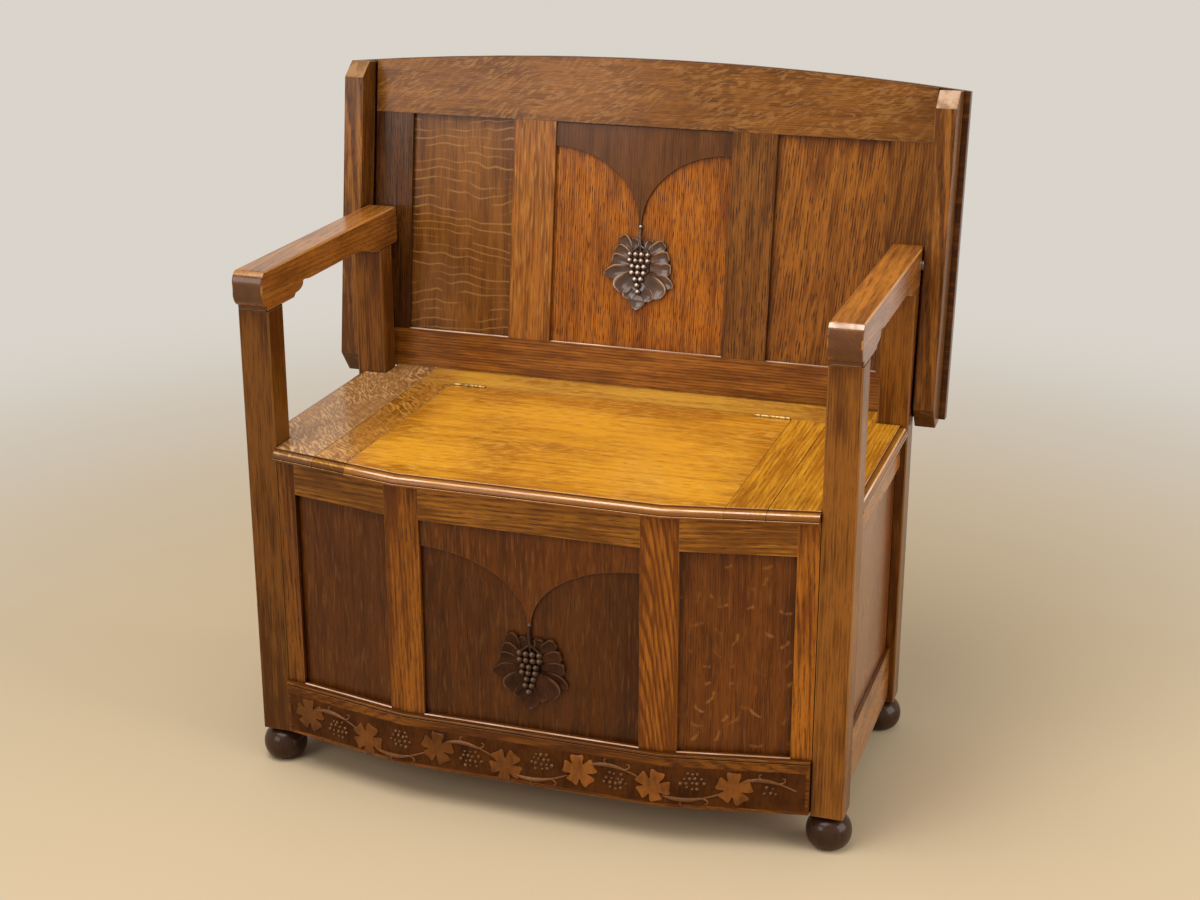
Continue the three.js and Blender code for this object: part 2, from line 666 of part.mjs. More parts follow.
// Posts, feet and arms
for (const [label, side] of sides) {
  const x = side * (inner + POST_WIDTH / 2);
  const railMiddle = side * (outer - SIDE_SETBACK - SIDE_RAIL_THICK / 2);
  const lowTenon = sideTenon(railMiddle, sideRailFrom, sideRailTo, FIT);
  const highTenon = sideTenon(railMiddle, sideTopRailFrom, seatBottom, FIT);
  const rearLow = rearTenon(sideRailFrom, sideRailTo, FIT);
  const rearHigh = rearTenon(rearTopRailFrom, seatBottom, FIT);
  const housings = [lowTenon, highTenon, sidePanel(side, FIT)];
  const frontHousings = [baseTenon(side, FIT), spigotHole(x, frontPostMiddle)];
  const frontPost = post(x, 0, FRONT_POST_DEPTH);
  const rearPost = post(x, REAR_POST_FRONT, REAR_POST_DEPTH);
  const rearHousings = [rearLow, rearHigh, rearPanel(FIT), spigotHole(x, rearPostMiddle)];
  add(`front_post_${label}`, cut(frontPost, ...housings, ...frontHousings), frameOak());
  add(`rear_post_${label}`, cut(rearPost, ...housings, ...rearHousings), frameOak());
  add(`bun_foot_front_${label}`, bunFoot(x, frontPostMiddle), carvedOak());
  add(`bun_foot_rear_${label}`, bunFoot(x, rearPostMiddle), carvedOak());
  add(`arm_${label}`, arm(side), frameOak());
}

// Sides of the box
for (const [label, side] of sides) {
  const groove = sidePanel(side, FIT);
  const topRail = cut(sideRail(side, sideTopRailFrom, seatBottom), groove);
  const bottomRail = cut(sideRail(side, sideRailFrom, sideRailTo), groove, floorGroove());
  add(`side_top_rail_${label}`, topRail, frameOak());
  add(`side_bottom_rail_${label}`, bottomRail, frameOak());
  add(`side_panel_${label}`, sidePanel(side, 0), darkOak());
}

// Rear of the box and its floor
add('box_rear_top_rail', cut(rearRail(rearTopRailFrom, seatBottom), rearPanel(FIT)), frameOak());
const rearBottom = cut(rearRail(sideRailFrom, sideRailTo), rearPanel(FIT), floorGroove());
add('box_rear_bottom_rail', rearBottom, frameOak());
add('box_rear_panel', rearPanel(0), darkOak());
const floorBoard = planPrism(floorOutline(0), floorFrom, floorTop);
const rearPostNotches = sides.map(([, side]) => block(
  [side * (inner - FIT), REAR_POST_FRONT - FIT, floorFrom - PAST],
  [side * outer, rearPostBack, floorTop + PAST],
));
add('box_floor_board', cut(floorBoard, ...rearPostNotches), darkOak());

// Front frame: stiles shaped to the break, rails between them and three panels
for (const [label, side] of sides) {
  for (const [kind, from, to] of frontStiles) {
    const [fromX, toX] = [side * from, side * to].sort((p, q) => p - q);
    const upright = planPrism(frontSlice(fromX, toX, 0, -FRAME_THICK), baseRailTop, seatBottom);
    const stile = cut(join(upright, stileTongue(side, from, to, 0)), ...bayGrooves, ...railMortises);
    add(`front_${kind}_stile_${label}`, stile, goldenOak());
  }
}
for (const bay of bays) {
  const [label, fromX, toX] = bay;
  const rail = planPrism(frontSlice(fromX, toX, 0, -FRAME_THICK), railOpeningTop, seatBottom);
  add(`front_top_rail_${label}`, cut(join(rail, railTongue(bay, 0)), ...bayGrooves), goldenOak());
  add(`front_panel_${label}`, bayPanel(fromX, toX, 0), darkOak());
}

// Bottom rail: bent to the three bays, with a bead along its top edge
function baseRail() {
  const end = inner - FIT;
  const beadMiddle = baseRailTop - BASE_BEAD_RADIUS;
  const beadBack = BASE_RAIL_PROUD - BASE_BEAD_RADIUS;
  const proudAt = [
    [baseRailBottom, BASE_RAIL_PROUD - BASE_ARRIS],
    [baseRailBottom + BASE_ARRIS, BASE_RAIL_PROUD],
    [beadMiddle - BASE_BEAD_RADIUS - BASE_QUIRK, BASE_RAIL_PROUD],
    ...arc(beadMiddle, beadBack, BASE_BEAD_RADIUS, BASE_BEAD_RADIUS, Math.PI, 0, 4),
  ];
  const rings = proudAt.map(([z, out]) => ({ z, points: frontSlice(-end, end, out, -FRAME_THICK) }));
  const rail = join(stackedOutlines(rings), baseTenon(-1, 0), baseTenon(1, 0));
  return cut(rail, ...bayGrooves, ...stileMortises, floorGroove());
}
add('front_bottom_rail', baseRail(), darkOak());

// The moulded seat is made as one slab and sawn into its boards, so that the moulding runs on over the joints
// Its edge from the underside up is a fillet, a groove, a thumb moulding and a quirk:
// each point is the inset from the outermost edge and the height above the underside.
const thumbTop = SEAT_THICK - SEAT_QUIRK_DEPTH;
const thumbBack = SEAT_THUMB_INSET + SEAT_THUMB_REACH;
const thumbRise = thumbTop - SEAT_THUMB_FOOT;
const seatMould = [
  [SEAT_FILLET_INSET * 2, 0],
  [SEAT_FILLET_INSET, SEAT_FILLET_INSET],
  [SEAT_FILLET_INSET, SEAT_FILLET_HEIGHT],
  [SEAT_GROOVE_INSET, SEAT_GROOVE_HEIGHT],
  ...arc(thumbBack, SEAT_THUMB_FOOT, SEAT_THUMB_REACH, thumbRise, Math.PI, Math.PI / 2, 6),
  [thumbBack + SEAT_QUIRK_WIDTH, thumbTop],
  [thumbBack + SEAT_QUIRK_WIDTH, SEAT_THICK - SEAT_ARRIS],
  [thumbBack + SEAT_QUIRK_WIDTH + SEAT_ARRIS, SEAT_THICK],
];

function seatSlab() {
  const ring = ([inset, rise]) => {
    const out = SEAT_OVERHANG - inset;
    const side = seatSideReach - inset;
    const knot = breakAt(out);
    const points = [
      [-side, seatRear],
      [-side, frontFaceY(side, out)],
      [-knot, frontFaceY(knot, out)],
      [knot, frontFaceY(knot, out)],
      [side, frontFaceY(side, out)],
      [side, seatRear],
    ];
    return { z: seatBottom + rise, points };
  };
  return stackedOutlines(seatMould.map(ring));
}

// The part of the slab between two x values, sawn off at its rear
function seatPiece(fromX, toX, toY) {
  const saw = block([fromX, -BEYOND, seatBottom - PAST], [toX, toY, SEAT_TOP + PAST]);
  return common(seatSlab(), saw);
}

const postNotches = sides.flatMap(([, side]) => [
  block(
    [side * (inner - FIT), -BEYOND, seatBottom - PAST],
    [side * BEYOND, FRONT_POST_DEPTH + FIT, SEAT_TOP + PAST],
  ),
  block(
    [side * (inner - FIT), REAR_POST_FRONT - FIT, seatBottom - PAST],
    [side * BEYOND, BEYOND, SEAT_TOP + PAST],
  ),
]);

for (const [label, side] of sides) {
  const [fromX, toX] = [side * (LID_HALF_WIDTH + SEAT_JOINT), side * BEYOND].sort((p, q) => p - q);
  add(`seat_side_board_${label}`, cut(seatPiece(fromX, toX, seatRear), ...postNotches), goldenOak());
}

// Lid hinges: two brass butts let into the lid's rear edge and the fixed rail
const hingeY = lidRear + LID_GAP / 2;
const hingeZ = SEAT_TOP + HINGE_PIN_ABOVE_SEAT;
const railEdge = lidRear + LID_GAP;

const hingeSpan = (side) => [side * hingeFrom, side * (hingeFrom + HINGE_LENGTH)].sort((p, q) => p - q);
const spans = sides.map(([, side]) => hingeSpan(side));

// Recess for a leaf and for the knuckle, cut from a seat board
function hingeRecess([fromX, toX], edgeY, towards) {
  const deep = edgeY + towards * (LEAF_THICK + LEAF_EASE);
  const mouth = edgeY - towards * PAST;
  const leaf = block([fromX - FIT, mouth, hingeZ - LEAF_DROP - FIT], [toX + FIT, deep, SEAT_TOP + PAST]);
  return [leaf, barAlongX(KNUCKLE_RADIUS + RUN, fromX - FIT, toX + FIT, hingeY, hingeZ)];
}

function knuckle([fromX, toX], from, to) {
  const length = toX - fromX;
  const start = fromX + from * length + KNUCKLE_EASE;
  const end = fromX + to * length - KNUCKLE_EASE;
  return barAlongX(KNUCKLE_RADIUS, start, end, hingeY, hingeZ, HINGE_SIDES);
}

function leafPlate([fromX, toX], edgeY, towards) {
  const farY = edgeY + towards * LEAF_THICK;
  return block([fromX, edgeY, hingeZ - LEAF_DROP], [toX, farY, hingeZ - LEAF_BELOW_PIN]);
}

// The pin is riveted into the fixed leaf's knuckles; `grow` makes the hole that turns on it
function hingePin([fromX, toX], grow) {
  const start = fromX + PIN_RIVET_INSET - grow;
  const end = toX - PIN_RIVET_INSET + grow;
  return barAlongX(HINGE_PIN_RADIUS + grow, start, end, hingeY, hingeZ, HINGE_SIDES);
}

function fixedLeaf(span) {
  const [a, b] = span;
  const length = b - a;
  const swing = barAlongX(
    KNUCKLE_RADIUS + RUN,
    a + KNUCKLE_SPLIT[1] * length,
    a + KNUCKLE_SPLIT[2] * length,
    hingeY,
    hingeZ,
  );
  const plate = cut(leafPlate(span, railEdge, 1), swing);
  const nearEnd = knuckle(span, KNUCKLE_SPLIT[0], KNUCKLE_SPLIT[1]);
  const farEnd = knuckle(span, KNUCKLE_SPLIT[2], KNUCKLE_SPLIT[3]);
  const ends = [nearEnd, farEnd];
  return join(plate, ...ends, hingePin(span, 0));
}

function movingLeaf(span) {
  const [a, b] = span;
  const length = b - a;
  const swings = [
    barAlongX(KNUCKLE_RADIUS + RUN, a - PAST, a + KNUCKLE_SPLIT[1] * length, hingeY, hingeZ),
    barAlongX(KNUCKLE_RADIUS + RUN, a + KNUCKLE_SPLIT[2] * length, b + PAST, hingeY, hingeZ),
  ];
  const plate = cut(leafPlate(span, lidRear, -1), ...swings);
  return cut(join(plate, knuckle(span, KNUCKLE_SPLIT[1], KNUCKLE_SPLIT[2])), hingePin(span, PIN_EASE));
}

const railRecesses = spans.flatMap((span) => hingeRecess(span, railEdge, 1));
const lidRecesses = spans.flatMap((span) => hingeRecess(span, lidRear, -1));
const beforeRail = block([-BEYOND, -BEYOND, seatBottom - PAST], [BEYOND, railEdge, SEAT_TOP + PAST]);
const rearBoard = cut(seatPiece(-LID_HALF_WIDTH, LID_HALF_WIDTH, seatRear), beforeRail);
add('seat_rear_rail', cut(rearBoard, ...railRecesses, ...postNotches), goldenOak());
for (const [label, side] of sides) {
  const span = hingeSpan(side);
  add(`lid_hinge_fixed_leaf_${label}`, fixedLeaf(span), brass());
  add(`lid_hinge_moving_leaf_${label}`, movingLeaf(span), brass());
}

// The lid: a wide panel between two clamps whose grain runs front to back

// The panel's tongues, or the clamps' stopped grooves for them when they are grown by a clearance
function clampTongue(grow) {
  const reach = clampFrom + CLAMP_TONGUE + grow;
  const half = CLAMP_TONGUE_THICK / 2 + grow;
  const middle = seatBottom + SEAT_THICK / 2;
  return block([-reach, -grow, middle - half], [reach, lidRear - CLAMP_TONGUE_SHORT + grow, middle + half]);
}

const lidPanel = join(seatPiece(-clampFrom + FIT / 2, clampFrom - FIT / 2, lidRear), clampTongue(0));
add('lid_panel', cut(lidPanel, ...lidRecesses), goldenOak());
for (const [label, side] of sides) {
  const [fromX, toX] = [side * (clampFrom + FIT / 2), side * LID_HALF_WIDTH].sort((p, q) => p - q);
  const clamp = cut(seatPiece(fromX, toX, lidRear), clampTongue(FIT), ...lidRecesses);
  add(`lid_clamp_${label}`, clamp, goldenOak());
}

// The pointed spandrel over a pair of arches: the arches spring at the sides and meet in a stem.
// Outline in (x, height); `spring` is where they start and `drop` how far they fall to the stem.
function spandrelOutline(half, top, spring, drop) {
  const right = arc(half, spring - drop, half - STEM_HALF_WIDTH, drop, Math.PI, Math.PI / 2, 14);
  const left = right.map(([x, z]) => [-x, z]).reverse();
  return [[-half, top], ...left, ...right, [half, top]];
}

// A five-lobed vine leaf with a bunch of grapes, in (x, height) round its own middle
function leafOutline() {
  const points = [];
  const steps = 60;
  for (let i = 0; i < steps; i += 1) {
    const angle = (i / steps) * 2 * Math.PI;
    const fromTip = angle + Math.PI / 2;
    const lobes = 0.8 + 0.2 * Math.cos(5 * fromTip);
    const teeth = 1 + 0.05 * Math.cos(20 * fromTip);
    const reach = LEAF_RADIUS * lobes * teeth;
    points.push([reach * Math.cos(angle), reach * Math.sin(angle)]);
  }
  return points;
}

// The carving stands on a face at y = faceY and faces -Y
function leafCarving(faceY, centreZ) {
  const leaf = new THREE.ExtrudeGeometry(outlineShape(leafOutline()), {
    depth: LEAF_THICK_CARVED - LEAF_EDGE_ROUND,
    bevelEnabled: true,
    bevelThickness: LEAF_EDGE_ROUND,
    bevelSize: LEAF_EDGE_INSET,
    bevelOffset: -LEAF_EDGE_INSET,
    bevelSegments: 2,
  });
  leaf.applyMatrix4(profileToFront);
  leaf.translate(0, faceY, centreZ);
  let carving = toSolid(leaf);
  GRAPE_ROWS.forEach((count, row) => {
    for (let i = 0; i < count; i += 1) {
      const x = (i - (count - 1) / 2) * GRAPE_PITCH;
      const z = centreZ + GRAPES_ABOVE_MIDDLE - row * GRAPE_PITCH * GRAPE_ROW_SHARE;
      const grape = new THREE.SphereGeometry(GRAPE_RADIUS, 10, 7).translate(x, faceY - LEAF_THICK_CARVED, z);
      carving = carving.add(toSolid(grape));
    }
  });
  const behind = block([-BEYOND, faceY, centreZ - BEYOND], [BEYOND, faceY + BEYOND, centreZ + BEYOND]);
  return toGeometry(carving.subtract(toSolid(behind)));
}

const centrePanelFace = -MIDDLE_PROUD + PANEL_SETBACK;
const frontSpandrel = frontPrism(
  spandrelOutline(bayStileFrom - FIT, railOpeningTop - FIT, frontArchSpring, FRONT_ARCH_DROP),
  centrePanelFace - SPANDREL_THICK - FIT,
  centrePanelFace - FIT,
);
add('front_spandrel', frontSpandrel, darkOak());
add('front_leaf_carving', leafCarving(centrePanelFace - FIT, frontLeafZ), carvedOak());

// The tip-over back, drawn upright about its pivot and then leaned back.
// Its own y runs square to the face, away from the sitter, and its z up the face.
const back = new THREE.Group();
back.position.set(0, pivotY, pivotZ);
back.rotation.x = -lean;
bench.add(back);
const addBack = addTo(back);
const face = PIVOT_TO_FACE;
const frameBack = face + BACK_FRAME_THICK;
const boardFace = frameBack + FIT;
const boardBack = boardFace + TOP_BOARD_THICK;

// Height of the bowed top edge at x
const bowRadius = (backHalf ** 2 + BACK_BOW ** 2) / (2 * BACK_BOW);
const bowAt = (x) => BACK_ABOVE_PIVOT + BACK_BOW - (bowRadius - Math.sqrt(bowRadius ** 2 - x ** 2));

function bowedEdge(half, lift, steps = 24) {
  const points = [];
  for (let i = 0; i <= steps; i += 1) {
    const x = half - (2 * half * i) / steps;
    points.push([x, bowAt(x) + lift]);
  }
  return points;
}

function backPanel(fromX, toX, grow) {
  const housing = PANEL_HOUSING + grow;
  return block(
    [fromX - housing, frameBack - BACK_PANEL_THICK - grow, backOpeningFrom - housing],
    [toX + housing, frameBack + grow, backOpeningTo + housing],
  );
}

const backOpenings = [
  ['left', -backStileInner, -muntinTo],
  ['centre', -CENTRE_BAY_HALF, CENTRE_BAY_HALF],
  ['right', muntinTo, backStileInner],
];
const backGrooves = backOpenings.map(([, a, b]) => backPanel(a, b, FIT));

// Uprights of the back as [kind, from, to], measured from the middle
const uprights = [
  ['stile', backStileInner, backHalf],
  ['muntin', CENTRE_BAY_HALF, muntinTo],
];

// One long tongue gives an upright its tenon at both ends
function uprightTongue(side, from, to, grow) {
  const near = face + BACK_TENON_SETBACK;
  const reach = BACK_TENON_LENGTH + grow;
  return block(
    [side * (from + TENON_SHOULDER - grow), near - grow, backOpeningFrom - reach],
    [side * (to - TENON_SHOULDER + grow), near + BACK_TENON_THICK + grow, backOpeningTo + reach],
  );
}

const backMortises = sides.flatMap(([, side]) =>
  uprights.map(([, from, to]) => uprightTongue(side, from, to, FIT)));
const topRailOutline = [
  [-backHalf, backOpeningTo + FIT],
  [backHalf, backOpeningTo + FIT],
  ...bowedEdge(backHalf, 0),
];
const topRail = frontPrism(topRailOutline, face, frameBack);
addBack('back_top_rail', cut(topRail, ...backGrooves, ...backMortises), frameOak());
const bottomRail = block(
  [-backHalf, face, -BACK_BELOW_PIVOT],
  [backHalf, frameBack, backOpeningFrom - FIT],
);
addBack('back_bottom_rail', cut(bottomRail, ...backGrooves, ...backMortises), frameOak());
for (const [label, side] of sides) {
  for (const [kind, from, to] of uprights) {
    const bar = block([side * from, face, backOpeningFrom], [side * to, frameBack, backOpeningTo]);
    const upright = cut(join(bar, uprightTongue(side, from, to, 0)), ...backGrooves);
    addBack(`back_${kind}_${label}`, upright, frameOak());
  }
}
for (const [label, a, b] of backOpenings) {
  addBack(`back_panel_${label}`, backPanel(a, b, 0), goldenOak());
}
const backPanelFace = frameBack - BACK_PANEL_THICK;
const backSpandrel = frontPrism(
  spandrelOutline(CENTRE_BAY_HALF - FIT, backOpeningTo - FIT, backArchSpring, BACK_ARCH_DROP),
  backPanelFace - SPANDREL_THICK - FIT,
  backPanelFace - FIT,
);
addBack('back_spandrel', backSpandrel, darkOak());
addBack('back_leaf_carving', leafCarving(backPanelFace - FIT, backLeafZ), carvedOak());

// Table top behind the framed face: glued up from boards, bowed along one long edge
const boardOutline = [
  [-topBoardHalf, -topBoardBelow],
  [topBoardHalf, -topBoardBelow],
  ...bowedEdge(topBoardHalf, TOP_BOARD_LIP),
];
addBack('table_top', frontPrism(boardOutline, boardFace, boardBack), goldenOak());

// Bearers outside the arms, with a stopped groove for the peg on their inner faces
function bearer(side) {
  const front = face - BEARER_PROUD;
  const profile = [
    [boardFace - FIT, bearerBottom + BEARER_HEEL_RISE],
    [boardFace - FIT, bearerTop],
    [front + BEARER_BEVEL, bearerTop],
    [front, bearerTop - BEARER_BEVEL],
    [front, bearerBottom + BEARER_BEVEL + BEARER_FOOT_EASE],
    [front + BEARER_BEVEL + BEARER_FOOT_EASE, bearerBottom],
  ];
  const body = sidePrism(profile, side * bearerInner, side * bearerOuter, BEARER_EDGE_ROUND);
  const bore = PEG_RADIUS + RUN;
  const depth = PEG_IN_BEARER + FIT;
  const from = side * (bearerInner - PAST);
  const to = side * (bearerInner + depth);
  const slot = block([from, -bore, -SLIDE_TRAVEL], [to, bore, 0]);
  const topEnd = barAlongX(bore, from, to, 0, 0);
  const lowEnd = barAlongX(bore, from, to, 0, -SLIDE_TRAVEL);
  return cut(body, join(slot, topEnd, lowEnd));
}

for (const [label, side] of sides) {
  addBack(`bearer_${label}`, bearer(side), frameOak());
}

// Pivot pegs: they turn in the arms and run in the bearers' grooves
function pivotPeg(side) {
  const inArm = side * (outer - PEG_IN_ARM);
  const inBearer = side * (bearerInner + PEG_IN_BEARER);
  const shaft = barAlongX(PEG_RADIUS, inArm, inBearer, 0, 0);
  const collar = barAlongX(COLLAR_RADIUS, side * (outer + FIT), side * (bearerInner - FIT), 0, 0, 24);
  return join(shaft, collar);
}

for (const [label, side] of sides) {
  addBack(`pivot_peg_${label}`, pivotPeg(side), iron());
}

// Bring the middle of the bench's depth to the origin
const rearmost = pivotY
  + (BACK_ABOVE_PIVOT + BACK_BOW + TOP_BOARD_LIP) * Math.sin(lean)
  + boardBack * Math.cos(lean);
bench.position.y = -(seatFront + rearmost) / 2;

export default bench;
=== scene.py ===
"""Dresses an oak monk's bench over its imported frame: eased boards, carving, brass and the studio round it.

Metres, in the frame's own axes: facing the bench, +X is to the right, the front faces -Y and +Z is up.
"""
import json
import logging
import math
import random
from collections.abc import Callable, Iterable, Sequence
from dataclasses import dataclass, field, fields, replace
from enum import Enum
from typing import ClassVar

import bmesh
import bpy
from mathutils import Euler, Matrix, Vector

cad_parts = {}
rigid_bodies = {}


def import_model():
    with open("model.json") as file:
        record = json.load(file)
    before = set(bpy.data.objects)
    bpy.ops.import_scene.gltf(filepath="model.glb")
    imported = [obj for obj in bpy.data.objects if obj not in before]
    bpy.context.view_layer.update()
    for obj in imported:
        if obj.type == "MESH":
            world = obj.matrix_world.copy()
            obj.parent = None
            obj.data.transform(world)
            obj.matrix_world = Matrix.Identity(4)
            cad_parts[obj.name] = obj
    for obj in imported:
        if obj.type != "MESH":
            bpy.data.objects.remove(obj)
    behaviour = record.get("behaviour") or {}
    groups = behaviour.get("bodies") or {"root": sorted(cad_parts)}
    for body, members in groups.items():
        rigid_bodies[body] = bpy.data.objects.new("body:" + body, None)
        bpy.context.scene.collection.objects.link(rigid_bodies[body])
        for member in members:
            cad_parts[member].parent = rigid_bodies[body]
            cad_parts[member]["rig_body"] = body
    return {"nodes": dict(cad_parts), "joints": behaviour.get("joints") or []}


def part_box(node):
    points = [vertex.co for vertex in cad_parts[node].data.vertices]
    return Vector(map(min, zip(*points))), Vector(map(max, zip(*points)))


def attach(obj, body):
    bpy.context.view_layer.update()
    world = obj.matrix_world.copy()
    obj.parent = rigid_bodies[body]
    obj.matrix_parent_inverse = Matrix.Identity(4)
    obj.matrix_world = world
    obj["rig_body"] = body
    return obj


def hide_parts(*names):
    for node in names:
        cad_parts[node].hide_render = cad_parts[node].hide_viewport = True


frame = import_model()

LOG = logging.getLogger("bench")
MM = 0.001
WEAR_STAIN_AND_LIGHT = "worn"  # the attribute that tells how worn each place is; it also carries painted highlights, painted shade and the vine leaves' stain
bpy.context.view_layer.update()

Colour = tuple[float, float, float]
Place = tuple[float, float, float]
Point = tuple[float, float]
Line = list[tuple[Vector, float]]  # a rib's points, each with the rib's radius there
Socket = bpy.types.NodeSocket
Piece = bpy.types.Object
Material = bpy.types.Material
MeshWork = bmesh.types.BMesh
Face = bmesh.types.BMFace
Corner = bmesh.types.BMVert


def stand(name: str, data: bpy.types.ID) -> Piece:
    """Makes an object of the given data and links it to the scene."""
    made = bpy.data.objects.new(name, data)
    bpy.context.scene.collection.objects.link(made)
    return made


# The leaning back's own axes, read from the joint that it slides on
SLIDE = next(joint for joint in frame["joints"] if joint["name"] == "back_slide")
UP_THE_BACK = Vector(SLIDE["axis"]).normalized()
BACK_NORMAL = Vector((0, -UP_THE_BACK.z, UP_THE_BACK.y))


class FrontPlan:
    """The canted front in plan, read from the frame: a flat middle and two splayed bays."""

    BREAK_X = 183 * MM  # half the width of the flat middle

    def __init__(self) -> None:
        """Measures the posts and the middle of the front."""
        post_low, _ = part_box("front_post_right")
        stile_low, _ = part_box("front_break_stile_right")
        self.inner = post_low.x
        self.post_y = post_low.y
        self.middle_y = stile_low.y
        self.slope = (self.post_y - self.middle_y) / (self.inner - self.BREAK_X)
        self.angle = math.atan(self.slope)

    def face_y(self, x: float, out: float = 0.0) -> float:
        """Finds the front's face.

        Args:
            x: place along the bench.
            out: distance in front of the face.

        Returns:
            The face's y at x, moved outwards.
        """
        splayed = self.post_y + (abs(x) - self.inner) * self.slope - out / math.cos(self.angle)
        return max(self.middle_y - out, splayed)

    def along(self, side: int) -> Vector:
        """Gives the direction of a splayed bay, for side -1 or 1."""
        return Vector((math.cos(self.angle), side * math.sin(self.angle), 0))

    def out(self, side: int) -> Vector:
        """Gives the outward normal of a splayed bay, for side -1 or 1."""
        return Vector((side * math.sin(self.angle), -math.cos(self.angle), 0))


PLAN = FrontPlan()


class Way(Enum):
    """Directions in which a board's grain runs or its face looks."""

    ACROSS = (1.0, 0.0, 0.0)
    DEEP = (0.0, 1.0, 0.0)
    UP = (0.0, 0.0, 1.0)
    FORWARD = (0.0, -1.0, 0.0)
    UP_BACK = tuple(UP_THE_BACK)
    BACK_FACE = tuple(BACK_NORMAL)
    LEFT_BAY = tuple(PLAN.along(-1))
    LEFT_BAY_FACE = tuple(PLAN.out(-1))
    RIGHT_BAY = tuple(PLAN.along(1))
    RIGHT_BAY_FACE = tuple(PLAN.out(1))


class Slot(Enum):
    """The record's material slots."""

    GOLDEN = "golden_oak"
    FRAME = "frame_oak"
    DARK = "dark_oak"
    CARVED = "carved_oak"
    BRASS = "brass"
    IRON = "iron"


@dataclass(frozen=True)
class OakFinish:
    """A stained and polished oak: its colours, and how plainly its figure shows."""

    name: str
    slot: Slot
    light: Colour
    dark: Colour
    pore: Colour
    ray: Colour
    roughness: float = 0.25
    gloss: float = 0.14
    coat: float = 0.10
    coat_roughness: float = 0.10
    bump: float = 0.3


SEAT_GOLD = OakFinish(
    "seat_gold", Slot.GOLDEN, (0.80, 0.36, 0.022), (0.44, 0.155, 0.008), (0.22, 0.07, 0.006),
    (0.90, 0.50, 0.08), gloss=0.2, coat=0.25, coat_roughness=0.08)
HONEY = OakFinish(
    "honey", Slot.GOLDEN, (0.50, 0.160, 0.012), (0.20, 0.052, 0.004), (0.09, 0.022, 0.002),
    (0.62, 0.26, 0.04))
AMBER = OakFinish(
    "amber", Slot.FRAME, (0.46, 0.162, 0.020), (0.19, 0.056, 0.006), (0.085, 0.024, 0.003),
    (0.60, 0.28, 0.07))
WHEAT = replace(AMBER, name="wheat", light=(0.46, 0.178, 0.020), dark=(0.19, 0.062, 0.006))
CHESTNUT = OakFinish(
    "chestnut", Slot.FRAME, (0.42, 0.154, 0.023), (0.17, 0.055, 0.008), (0.08, 0.025, 0.004),
    (0.58, 0.28, 0.08))
UMBER = OakFinish(
    "umber", Slot.FRAME, (0.20, 0.070, 0.014), (0.085, 0.027, 0.005), (0.04, 0.012, 0.003),
    (0.28, 0.13, 0.04))
RUSSET = OakFinish(
    "russet", Slot.DARK, (0.20, 0.055, 0.006), (0.095, 0.024, 0.003), (0.04, 0.010, 0.002),
    (0.34, 0.13, 0.03))
TAWNY = OakFinish(
    "tawny", Slot.GOLDEN, (0.40, 0.185, 0.055), (0.25, 0.105, 0.030), (0.12, 0.045, 0.014),
    (0.80, 0.48, 0.20), gloss=0.2)
PALE_GOLD = replace(SEAT_GOLD, name="pale_gold", light=(0.78, 0.40, 0.045), dark=(0.44, 0.175, 0.018))
MOTTLED_GOLD = OakFinish(
    "mottled_gold", Slot.GOLDEN, (0.50, 0.190, 0.020), (0.26, 0.085, 0.008), (0.13, 0.042, 0.005),
    (0.80, 0.42, 0.08), coat=0.15)
CHESTNUT_SIDE = replace(CHESTNUT, name="chestnut_side", coat=0.55, coat_roughness=0.2)
AMBER_SIDE = replace(AMBER, name="amber_side", coat=0.55, coat_roughness=0.25)
RUSSET_SIDE = replace(RUSSET, name="russet_side", coat=0.75, coat_roughness=0.25)
# In the carved finishes, ray is the pale colour of the painted highlights on leaf rims and berry tops
FOOT = OakFinish(
    "foot", Slot.CARVED, (0.052, 0.022, 0.010), (0.026, 0.010, 0.004), (0.008, 0.003, 0.002),
    (0.07, 0.04, 0.02), roughness=0.3, gloss=0.1, coat=0.25, coat_roughness=0.05)
BRONZED = OakFinish(
    "bronzed", Slot.CARVED, (0.120, 0.058, 0.032), (0.050, 0.021, 0.011), (0.010, 0.004, 0.002),
    (0.72, 0.52, 0.38), roughness=0.24, gloss=0.4, coat=0.45, coat_roughness=0.10)
DUSKY = OakFinish(
    "dusky", Slot.CARVED, (0.062, 0.021, 0.008), (0.028, 0.009, 0.004), (0.008, 0.003, 0.001),
    (0.17, 0.085, 0.045), roughness=0.36, gloss=0.08, coat=0.06, coat_roughness=0.12)
GRAPE = OakFinish(
    "grape", Slot.CARVED, (0.065, 0.028, 0.015), (0.030, 0.012, 0.007), (0.008, 0.003, 0.002),
    (0.78, 0.60, 0.48), roughness=0.18, gloss=0.5, coat=0.6, coat_roughness=0.06)
DUSKY_GRAPE = OakFinish(
    "dusky_grape", Slot.CARVED, (0.060, 0.024, 0.012), (0.026, 0.010, 0.005), (0.006, 0.002, 0.001),
    (0.16, 0.09, 0.05), roughness=0.3, gloss=0.12, coat=0.2, coat_roughness=0.08)
VINE_LEAF = OakFinish(
    "vine_leaf", Slot.DARK, (0.34, 0.112, 0.014), (0.13, 0.040, 0.006), (0.05, 0.015, 0.003),
    (0.50, 0.20, 0.05))
VINE_STEM = OakFinish(
    "vine_stem", Slot.DARK, (0.20, 0.080, 0.022), (0.10, 0.036, 0.010), (0.035, 0.012, 0.004),
    (0.42, 0.22, 0.10))
VINE_BERRY = OakFinish(
    "vine_berry", Slot.DARK, (0.100, 0.036, 0.009), (0.050, 0.017, 0.005), (0.014, 0.005, 0.002),
    (0.24, 0.115, 0.040))
VINE_GROUND = OakFinish(
    "vine_ground", Slot.DARK, (0.092, 0.028, 0.005), (0.038, 0.011, 0.002), (0.014, 0.004, 0.002),
    (0.14, 0.06, 0.02), roughness=0.5, gloss=0.06, coat=0.02)


